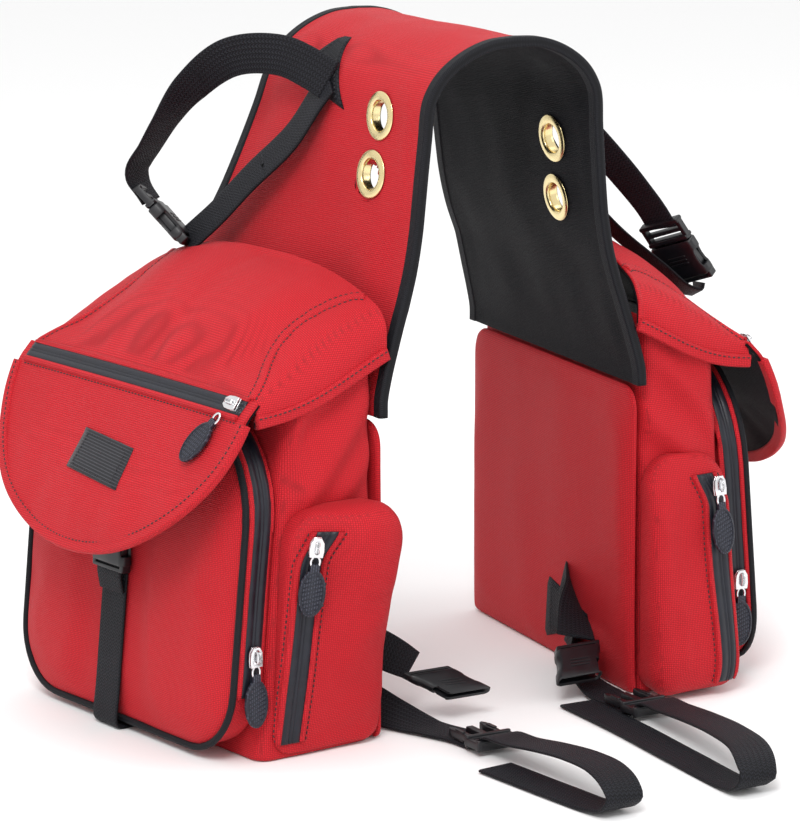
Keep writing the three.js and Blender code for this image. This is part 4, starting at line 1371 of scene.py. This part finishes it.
def make_yoke():
    across = np.linspace(0, 1, YOKE_COLUMNS)
    grids = {}
    for name, offset, thick in (("yoke_outer", 2.6, 2.2), ("yoke_lining", -0.4, 1.8)):
        rows = np.array([yoke_point(s, r, across, offset) for s, r in yoke_rows()])
        obj = grid(f"{name}_cloth", rows)
        if vertex_normals(obj)[YOKE_ROWS * YOKE_COLUMNS + YOKE_COLUMNS // 2][2] < 0:
            obj.data.flip_normals()
        co = coordinates(obj)
        nrm = vertex_normals(obj)
        edge = np.tile(np.minimum(across, 1 - across) * 225, len(rows))
        low = co[:, 2] - 196
        calm = ease((edge - 4) / 18) * ease((low - 6) / 25)
        middle = co - nrm * offset
        set_coordinates(obj, co + nrm * (yoke_wrinkle(middle) * calm)[:, None])
        with editing(obj) as bm:
            cut_away(bm, lambda p: any(np.linalg.norm(p - centre) < HOLE_CUT for _, centre, _ in SEATS))
            for v in (v for v in bm.verts if v.is_boundary):
                p = np.array(v.co) / MM
                for _, centre, axis in SEATS:
                    high = (p - centre) @ axis
                    flat = (p - centre) - high * axis
                    if np.linalg.norm(flat) < HOLE_PULL:
                        v.co = Vector((centre + high * axis + unit(flat) * HOLE) * MM)
        solidify(obj, thick)
        obj.data.shade_smooth()
        grids[name] = obj
    settle(grids["yoke_outer"], "bag", red_cloth, "red_cloth", "yoke_outer")
    settle(grids["yoke_lining"], "bag", black_cloth, "black_cloth", "yoke_lining")
    for name, end, outward in (("near_binding", 0.0, -1), ("far_binding", 1.0, 1)):
        rows = yoke_rows()
        route = np.array([yoke_point(s, r, end, 0.2) for s, r in rows]) + np.array([0, outward * 1.2, 0])
        route = spaced(route, 240)
        y = np.tile([0, 1.0, 0], (len(route), 1))
        obj = sweep(f"{name}_tape", route, y, strap_section(8.6, 6.2))
        fix_normals(obj)
        settle(obj, "bag", binding, "black_webbing", name)
    return Skin(grids["yoke_outer"])


def make_grommets():
    low, high = -2.6, 3.0
    section = [(8.9, low + 0.6), (9.0, low - 0.6), (10.4, low - 1.3), (12.4, low - 1.3), (14.4, low - 0.8),
               (15.0, low - 0.1), (14.2, low), (9.5, low + 0.1), (9.5, high - 0.1), (14.2, high),
               (15.0, high + 0.1), (14.4, high + 0.8), (12.4, high + 1.3), (10.4, high + 1.3),
               (9.0, high + 0.6), (8.9, high - 0.6)]
    for name, centre, axis in SEATS:
        side = unit(np.cross(axis, [0, 0, 1.0]))
        up = np.cross(side, axis)
        turns = np.linspace(0, 2 * math.pi, 49)[:-1]
        rows = [[centre + axis * h + (side * math.cos(a) + up * math.sin(a)) * r for r, h in section]
                for a in turns]
        obj = grid(f"{name}_ring", rows, loop_rows=True, loop_columns=True)
        fix_normals(obj)
        subdivide(obj)
        settle(obj, "bag", brass, "brass", name)


# ---------------------------------------------------------------- moulded hardware
def moulded_plate(name, outline, holes, thickness, origin, x_axis, y_axis, soft=0.5):
    """A flat outline with rounded edges, set in space by the directions of its x and y."""
    data = bpy.data.curves.new(name, "CURVE")
    data.dimensions, data.fill_mode = "2D", "BOTH"
    data.extrude = (thickness / 2 - soft) * MM
    data.bevel_depth, data.bevel_resolution, data.offset = soft * MM, 2, -soft * MM
    for ring in (outline, *holes):
        spline = data.splines.new("POLY")
        spline.points.add(len(ring) - 1)
        for p, (x, y) in zip(spline.points, ring):
            p.co = (x * MM, y * MM, 0, 1)
        spline.use_cyclic_u = True
    maker = add_object(name + "_maker", data)
    bpy.context.view_layer.update()
    mesh = bpy.data.meshes.new_from_object(maker.evaluated_get(bpy.context.evaluated_depsgraph_get()))
    bpy.data.objects.remove(maker)
    bpy.data.curves.remove(data)
    flat = np.array([v.co[:] for v in mesh.vertices]) / MM
    x, y = unit(x_axis), unit(y_axis)
    z = np.cross(x, y)
    points = origin + flat[:, :1] * x + flat[:, 1:2] * y + flat[:, 2:] * z
    mesh.vertices.foreach_set("co", (points * MM).astype(np.float32).ravel())
    mesh.name = name
    layer = mesh.uv_layers.new(name="mm") if not mesh.uv_layers else mesh.uv_layers[0]
    uv = np.array([flat[loop.vertex_index, :2] for loop in mesh.loops], np.float32)
    layer.data.foreach_set("uv", uv.ravel())
    for other in [l for l in mesh.uv_layers if l.name != layer.name]:
        mesh.uv_layers.remove(other)
    mesh.update()
    obj = add_object(name, mesh)
    weld(obj)
    return smooth_by_angle(obj)


def weld(obj, distance=0.02):
    with editing(obj) as bm:
        bmesh.ops.remove_doubles(bm, verts=bm.verts, dist=distance * MM)
        bmesh.ops.recalc_face_normals(bm, faces=bm.faces)


def smooth_by_angle(obj, degrees=35):
    """Soft shading except over sharp edges."""
    with editing(obj) as bm:
        for f in bm.faces:
            f.smooth = True
        for e in bm.edges:
            e.smooth = not (e.is_manifold and e.calc_face_angle(0) > math.radians(degrees))
    return obj


def ellipse(cx, cy, rx, ry, count=24):
    angles = np.linspace(0, 2 * math.pi, count + 1)[:-1]
    return [(cx + rx * math.cos(a), cy + ry * math.sin(a)) for a in angles]


def make_socket(name, body, mouth, axis, across):
    """A buckle's sleeve, with a window in each side and a ribbed grip, and its strap bar at the far end."""
    width, height = 33.0, 9.0
    thick = np.cross(axis, across)
    stations = [(-0.2, 0.93, 0.9), (-1.2, 1, 1), (-6, 1, 1), (-8, 0.99, 1), (-10, 0.94, 1), (-14, 0.92, 1),
                (-18, 0.94, 1), (-20, 0.99, 1), (-23, 1, 1), (-25, 1, 0.98), (-26, 0.98, 0.9)]
    rows = []
    for y, w, h in stations:
        ring = rounded(-width / 2 * w, width / 2 * w, -height / 2 * h, height / 2 * h, (3.4,) * 4, arc=5)
        rows.append([mouth + axis * y + across * a + thick * b for a, b in ring])
    obj = grid(f"{name}_sleeve", rows, loop_columns=True)
    fix_normals(obj)

    def in_window(p):
        return abs((p - mouth) @ across) > width / 2 - 2.4 and -20 < (p - mouth) @ axis < -8

    with editing(obj) as bm:
        cut_away(bm, in_window)
    solidify(obj, 1.7)
    bevel(obj, 0.35, 2, 40)
    smooth_by_angle(obj)
    bar_outline = rounded(-width / 2 + 0.6, width / 2 - 0.6, -30, -21, (3, 3, 1, 1), arc=4)
    slot = [(-12.8, -27.6), (12.8, -27.6), (12.8, -23.4), (-12.8, -23.4)]
    bar = moulded_plate(f"{name}_bar", bar_outline, [slot], 6.4, mouth, across, axis, 0.7)
    ribs = []
    for y in (-12.4, -9.8, -15.0):
        for face in (-1, 1):
            outline = rounded(-7, 7, y - 0.6, y + 0.6, (0.5,) * 4, arc=2)
            ribs.append(moulded_plate(f"{name}_rib", outline, [], 1.2, mouth + thick * face * 4.5,
                                      across, axis, 0.3))
    settle(join(f"{name}_sleeve", [obj, bar, *ribs]), body, plastic, "buckle_plastic", f"{name}_socket")


def make_plug(name, body, mouth, axis, across):
    """A buckle's plug: two springy side prongs, a middle guide and a collar with bars for the strap."""
    half, edge, collar, prong = 13.3, 15.5, 16.0, 24.0
    right = [(2.2, 5 - prong), (2.6, -3), (4.5, -0.2), (half - 5.4, -0.2), (half - 5.0, -6),
             (half - 5.2, 8 - prong), (half - 3.6, 1 - prong), (half - 2.0, -prong + 0.4),
             (half - 0.4, 3.4 - prong), (half, 6.5 - prong), (half - 0.4, 11 - prong), (half - 1.4, -3),
             (half - 0.9, 0.3), (edge, 0.3), (edge, collar - 2), (edge - 2, collar)]
    outline = right + [(-x, y) for x, y in reversed(right)]
    slots = [[(-12.4, low), (12.4, low), (12.4, high), (-12.4, high)]
             for low, high in ((3.8, 6.6), (9.2, 12.3))]
    obj = moulded_plate(f"{name}_prongs", outline, slots, 4.6, mouth, across, axis, 0.6)
    thick = np.cross(across, axis)
    extra = []
    for y, h in ((1.9, 7.2), (14.3, 6.4)):
        bar = rounded(-edge, edge, y - 1.5, y + 1.5, (1.2,) * 4, arc=3)
        extra.append(moulded_plate(f"{name}_lip", bar, [], h, mouth, across, axis, 0.7))
    for a in (-1, 1):
        for face in (-1, 1):
            pad = rounded(-1.4, 1.4, -16, -7, (1.0,) * 4, arc=3)
            place = mouth + across * a * (half - 2.4) + thick * face * 2.4
            extra.append(moulded_plate(f"{name}_grip", pad, [], 1.4, place, across, axis, 0.35))
    settle(join(f"{name}_prongs", [obj, *extra]), body, plastic, "buckle_plastic", f"{name}_plug")


def make_slider(name, seat, travel, normal):
    """A zip slider: a waisted body and its bridge."""
    side = np.cross(travel, normal)
    outline = [(-4, -6), (4, -6), (4.4, -2), (4, 3), (2.2, 6), (-2.2, 6), (-4, 3), (-4.4, -2)]
    low = moulded_plate(f"{name}_low", outline, [], 1.5, seat - normal * 1.3, side, travel, 0.4)
    high = moulded_plate(f"{name}_high", outline, [], 1.4, seat + normal * 0.5, side, travel, 0.45)
    heights = ((-3.6, 0.9), (-3.2, 2.4), (-1.4, 3.2), (1.6, 3.2), (3.6, 2.2), (4.2, 0.9))
    arch = [seat + travel * a + normal * h for a, h in heights]
    bridge = sweep(f"{name}_bridge", curve(arch, 16), side, strap_section(2.6, 1.0))
    fix_normals(bridge)
    settle(join(f"{name}_body", [low, high, smooth_by_angle(bridge)]), name, nickel, "nickel", name)


def make_pull(name, origin, hang, normal):
    """An oval rubber tab with a raised rim and cross ribs, on a wire ring."""
    side = unit(np.cross(hang, normal))
    centre = 7 + 14.5
    oval = ellipse(0, centre, 8.0, 14.5, 40)
    tab = moulded_plate(f"{name}_tab", oval, [], 2.6, origin, side, hang, 0.8)
    outline = rounded(-2.7, 2.7, 3.6, 11, (1.2,) * 4, arc=3)
    parts = [tab, moulded_plate(f"{name}_neck", outline, [], 2.8, origin, side, hang, 0.6)]
    face = np.cross(side, hang)
    for f in (-1, 1):
        rim = [origin + side * x + hang * y + face * f * 1.2 for x, y in ellipse(0, centre, 6.6, 13.0, 44)]
        parts.append(tube(f"{name}_rim", np.array(rim), 0.55, closed=True, corners=6, up=face))
        for k in range(-4, 5):
            y = centre + k * 2.6
            reach = 6.2 * math.sqrt(max(0.0, 1 - ((y - centre) / 12.8) ** 2))
            ends = [origin + side * s * reach + hang * (y + s * reach * 0.35) + face * f * 1.25
                    for s in (-1, 0, 1)]
            parts.append(tube(f"{name}_bar", np.array(ends), 0.42, corners=6, up=face))
    settle(join(f"{name}_tab", parts), name, pull_rubber, "pull_rubber", name)
    ring = [origin + side * x + hang * y for x, y in ellipse(0, 2.4, 2.6, 3.6, 28)]
    wire = tube(f"{name}_ring", np.array(ring), 0.75, closed=True, corners=8, up=face)
    settle(wire, name, nickel, "nickel")


# ---------------------------------------------------------------- building each side
def make_closure(side):
    name = f"{side.name}_closure"
    up = unit(side.turn([side.front_at(1, 0) - side.front_at(0, 0), 0, 1]))
    across = side.V
    mouth = side.at([side.front_at(127, FACE_SHARE) + 0.6 + 4.5, CLOSURE_V, 127])

    def face(z):
        return side.front_at(z, FACE_SHARE) + 1.5

    deep = side.fill * DEPTH_BOTTOM
    route = [(face(96), 96), (face(72), 72), (face(48), 48), (face(24), 24), (face(12) + 0.5, 11),
             (face(6), 4.5), (face(4) - 2.6, 1.5), (deep - 8, 1.15), (side.main_depth(0) + 3, 1.15)]
    line = curve([side.at([u, CLOSURE_V, z]) for u, z in route], 90)
    strap = band(f"{name}_strap", line, across, thickness=1.7)
    settle(strap, "bag", webbing, "black_webbing", f"{name}_webbing")
    make_socket(name, "bag", mouth, up, across)
    make_plug(name, f"{name}_plug", mouth, up, across)
    low = mouth + up * 5.0
    tab = [low - side.U * 2.6, low + up * 6 - side.U * 3.0, mouth + up * 18 - side.U * 2.2,
           mouth + up * 30 - side.U * 1.0, mouth + up * 44 - side.U * 0.5]
    tab_strap = band(f"{name}_tab", curve(tab, 24), across, thickness=1.7)
    settle(tab_strap, f"{name}_plug", webbing, "black_webbing")
    # a folded end of webbing under the buckle
    fold = [mouth - up * 26 + side.U * 1.0, mouth - up * 32 + side.U * 1.2, mouth - up * 38 - side.U * 0.2,
            side.at([face(84) + 2.0, CLOSURE_V, 84])]
    end = band(f"{name}_fold", curve(fold, 20), across, thickness=1.7)
    settle(end, "bag", webbing, "black_webbing")


def make_pulls(side):
    def fit(which, seat, travel, normal, start, hang, facing):
        make_slider(f"{side.name}_{which}_slider", seat, travel, normal)
        make_pull(f"{side.name}_{which}_pull", start, hang, facing)

    down, out = np.array([0, 0, -1.0]), -side.V
    seat = side.at([side.front_at(66, ZIP_SHARE), -111.4, 66]) + out * SLIDER_HIGH
    fit("front", seat, UP, out, seat + down * PULL_DROP, down, out)

    high, _, normal = side_seat(side, 132)
    travel = unit(side_seat(side, 40)[0] - high)
    normal = unit(normal - travel * (normal @ travel))
    high, travel, normal = side.at(high), side.turn(travel), side.turn(normal)
    seat = high + normal * (SLIDER_HIGH - 1.2)
    fit("side", seat, -travel, normal, seat + travel * PULL_DROP, travel, normal)

    slope = math.radians(35)
    normal = side.turn([math.cos(slope), 0, math.sin(slope)])
    centre = side.at([ROOF_DEPTH * side.fill + 4.8, -102, 213.6])
    facing = side.turn(LIP_NORMAL)
    hang = unit(side.turn(np.array([0, 0.52, 0]) + LIP_DOWN * 0.85))
    start = side.at([ROOF_DEPTH * side.fill + 9.2, -99, 207.4]) + facing * 5.0 + side.turn(LIP_DOWN) * 1.5
    fit("flap", centre + normal * SLIDER_HIGH, side.V, normal, start, hang, facing)


# Tie-down loops: offsets outward and along the saddle, and heights. The upper leg goes from the plug to
# the root, and the lower leg from the root to the socket.
LOOPS = {
    "left": {
        "plug": (84, 105, 307),
        "socket": (64, 79, 275),
        "facing": (-0.78, -0.63, 0),
        "upper": [(79.5, 99.0, 299.5), (84.5, 104.5, 311), (86, 104, 320), (80, 98, 334), (73, 91, 350),
                  (63, 78, 371), (46, 57, 391), (26, 31, 394), (15, 12, 387), (9, 0, 380.8)],
        "upper_across": [(-0.9, 0.5, -0.2), (-0.9, 0.5, -0.2), (-0.9, 0.5, -0.2), (-0.9, 0.5, -0.2),
                         (-0.9, 0.5, -0.4), (-0.6, 0.3, -0.8), (-0.2, 0.1, -1), (0.1, 0, -1),
                         (0.4, 0.3, -0.85), (0.45, 0.4, -0.78)],
        "lower": [(9, 0, 380.8), (13, 8, 370), (23, 22, 345), (38, 47, 318), (52, 64, 295),
                  (64.5, 79.6, 277)],
        "lower_across": (0.3, -0.8, -0.52),
    },
    "right": {
        "plug": (101, -35, 281),
        "socket": (126, -40, 243),
        "facing": (0.73, 0.4, 0.43),
        "upper": [(103.5, -35.4, 277), (96, -34, 289), (86, -30, 303), (74, -26, 318), (58, -20, 337),
                  (42, -13, 354), (29, -8, 368), (19, -3, 378), (9, 0, 380.8)],
        "upper_across": [(0, 0.8, -0.5), (0, 0.8, -0.5), (0, 0.8, -0.55), (0, 0.78, -0.62), (0, 0.75, -0.65),
                         (0, 0.75, -0.65), (0.1, 0.75, -0.62), (0.25, 0.75, -0.58), (0.3, 0.75, -0.55)],
        "lower": [(9, 0, 380.8), (16, -2, 369), (29, -7, 343), (48, -15, 309), (74, -25, 277),
                  (102, -35, 252), (118, -39, 238), (127, -41, 235), (128.5, -40.6, 241)],
        "lower_across": (0.28, 0.85, -0.3),
    },
}


def make_loop(side):
    route = LOOPS[side.name]

    def place(p):
        return np.array([side.sign * (54 + p[0]), 5 + p[1], p[2]]) + CENTRING

    def turned(p):
        return np.array([side.sign * p[0], p[1], p[2]])

    name = f"{side.name}_loop"
    plug_end, socket_end = place(route["plug"]), place(route["socket"])
    axis = unit(plug_end - socket_end)
    middle = (plug_end + socket_end) / 2
    mouth = middle + axis * (30 - 23)
    legs = (("upper", route["upper"], route["upper_across"], 90),
            ("lower", route["lower"], [route["lower_across"]] * len(route["lower"]), 60))
    for leg, points, dirs, count in legs:
        points = np.array([place(p) for p in points])
        line = curve(points, count)
        raw = np.array([turned(d) for d in dirs])
        across = along_route(line, points, raw)
        if leg == "upper":
            line, across = line[::-1], across[::-1]
        root, bend = line[0] * MM, line[count // 4] * MM
        cut = count // 2
        parts = ((f"{name}_{leg}_root_strap", slice(0, cut + 1)),
                 (f"{name}_{leg}_strap", slice(cut - 1, count)))
        for k, (part, span) in enumerate(parts):
            strap = band(part, line[span], across[span])
            strap.data.materials.append(webbing)
            if k == 0:
                tuple(root)
                tuple(bend)
                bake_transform(strap)
            elif leg == "upper":
                end = plug_end * MM
                start = end + (points[4] * MM - end) * 0.75
                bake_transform(strap)
                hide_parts(f"{name}_webbing")
            else:
                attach(strap, name)
            round(length_of(line[span]) * MM, 3)
    wide = unit(np.cross(axis, turned(route["facing"])))
    make_socket(name, name, mouth, axis, wide)
    make_plug(name, f"{name}_plug", mouth, axis, wide)


def make_girth_hardware(side):
    name = f"{side.name}_girth"
    points = np.array(GIRTH[side.name]["short"], float) + CENTRING
    fall = unit(points[-1] - points[-2])
    mouth = points[-1] + fall * 38
    level = np.array([1.0, 0, 0])
    make_socket(name, "bag", mouth, fall, level)
    slot = np.array(GIRTH[side.name]["long"][6], float) + CENTRING
    mouth = slot + np.array([0, 3.8 + 4.25 + 0.1, 0])
    make_plug(name, "bag", mouth, np.array([0, -1.0, 0]), level)


def patch(name, body, skin, corners, place, towards, material, slot, steps=10, height=1.4):
    """A small flat patch filled between four corners, laid on a surface and stitched just inside its edge."""
    a, b, c, d = (np.array(p, float) for p in corners)

    def inside(x, y):
        return lerp(lerp(a, b, x), lerp(d, c, x), y)

    s = np.linspace(0, 1, steps)
    rows = np.array([[place(*inside(x, y)) for x in s] for y in s])
    heights = np.full(steps, height)
    heights[[0, -1]] = 0.5
    obj = applied(name, skin, rows, heights, towards=np.tile(towards, (steps, 1)))
    settle(obj, body, material, slot)
    own = Skin(obj)
    inner = [inside(x, y) for x, y in ((0.1, 0.1), (0.9, 0.1), (0.9, 0.9), (0.1, 0.9), (0.1, 0.1))]
    ring = spaced(np.array([place(*p) for p in spaced(np.array(inner), 60)]), 60)
    row = thread_row(name + "_thread", own, ring, np.tile(towards, (60, 1)), gap=2.8, length=2.0, radius=0.35)
    settle(row, body, thread_black, "black_cloth")


def yoke_at(side, y, z, offset=2.6):
    """A point over the yoke's outer face."""
    row = float(np.interp(z, profile[:, 1], np.arange(YOKE_ROWS + 1)))
    near = float(yoke_point(side.sign, row, 0.0, 0.0)[1] - CENTRING[1])
    far = float(yoke_point(side.sign, row, 1.0, 0.0)[1] - CENTRING[1])
    return yoke_point(side.sign, row, (y - near) / (far - near), offset)


def make_patches(side, yoke_skin, panel_skin, lip_skin):
    lean = 1.0 if side is LEFT else 0.5
    corners = [(5 + lean * dy, z) for dy, z in ((-18, 366), (12, 401), (20, 401), (44, 380))]
    outward = unit(np.array([-side.sign * 0.8, 0, -0.6]))
    patch(f"{side.name}_yoke_patch", "bag", yoke_skin, corners, lambda y, z: yoke_at(side, y, z, 5.0),
          outward, webbing, "black_webbing", 12, 1.8)
    corners = ((-10, 52), (-6, 12), (-66, 32), (-64, 40))
    patch(f"{side.name}_girth_patch", "bag", panel_skin, corners, lambda v, z: side.at([-3, v, z]), side.U,
          webbing, "black_webbing", 10, 1.6)
    if side is LEFT:
        corners = ((24, 30), (-29, 34), (-33, 61), (22.5, 56))
        front = side.turn(LIP_NORMAL) * 3
        patch("left_flap_patch", "left_flap", lip_skin, corners,
              lambda v, d: side.at(lip_point(side, v, d + ZIP_BAND)) + front, side.turn(-LIP_NORMAL),
              patch_stripes, "black_cloth", 12, 1.0)


yoke_skin = make_yoke()
make_grommets()
for side in SIDES:
    panel_skin = make_back_panel(side)
    make_compartment(side)
    make_front_pocket(side)
    make_side_pocket(side)
    make_roof(side)
    lip_skin = make_lip(side)
    make_patches(side, yoke_skin, panel_skin, lip_skin)
    make_closure(side)
    make_pulls(side)
    make_loop(side)
    make_girth_hardware(side)


# ---------------------------------------------------------------- studio
def make_studio():
    floor = bpy.data.meshes.new("floor")
    r = 14.0
    floor.from_pydata([(-r, -r, 0), (r, -r, 0), (r, r, 0), (-r, r, 0)], [], [(0, 1, 2, 3)])
    ground = add_object("floor", floor)
    pale = bpy.data.materials.new("pale_floor")
    pale.use_nodes = True
    inputs = pale.node_tree.nodes["Principled BSDF"].inputs
    inputs["Base Color"].default_value = (0.92, 0.92, 0.92, 1)
    inputs["Roughness"].default_value = 0.9
    floor.materials.append(pale)
    world = bpy.data.worlds.new("studio")
    world.use_nodes = True
    sky = world.node_tree.nodes["Background"].inputs
    sky[0].default_value, sky[1].default_value = (1, 1, 1, 1), 0.98
    bpy.context.scene.world = world
    lamps = (("key", (-1.3, -1.5, 2.1), 1.1, 40), ("fill", (1.9, -1.3, 1.1), 1.4, 8),
             ("top", (0.1, 0.3, 2.4), 1.6, 12))
    for name, place, size, power in lamps:
        lamp = bpy.data.lights.new(name, "AREA")
        lamp.shape, lamp.size, lamp.energy = "DISK", size, power
        obj = add_object(name, lamp)
        obj.location = place
        obj.rotation_mode = "QUATERNION"
        obj.rotation_quaternion = (Vector((0, 0, 0.2)) - Vector(place)).to_track_quat("-Z", "Y")
    bpy.context.scene.view_settings.view_transform = "Standard"


make_studio()
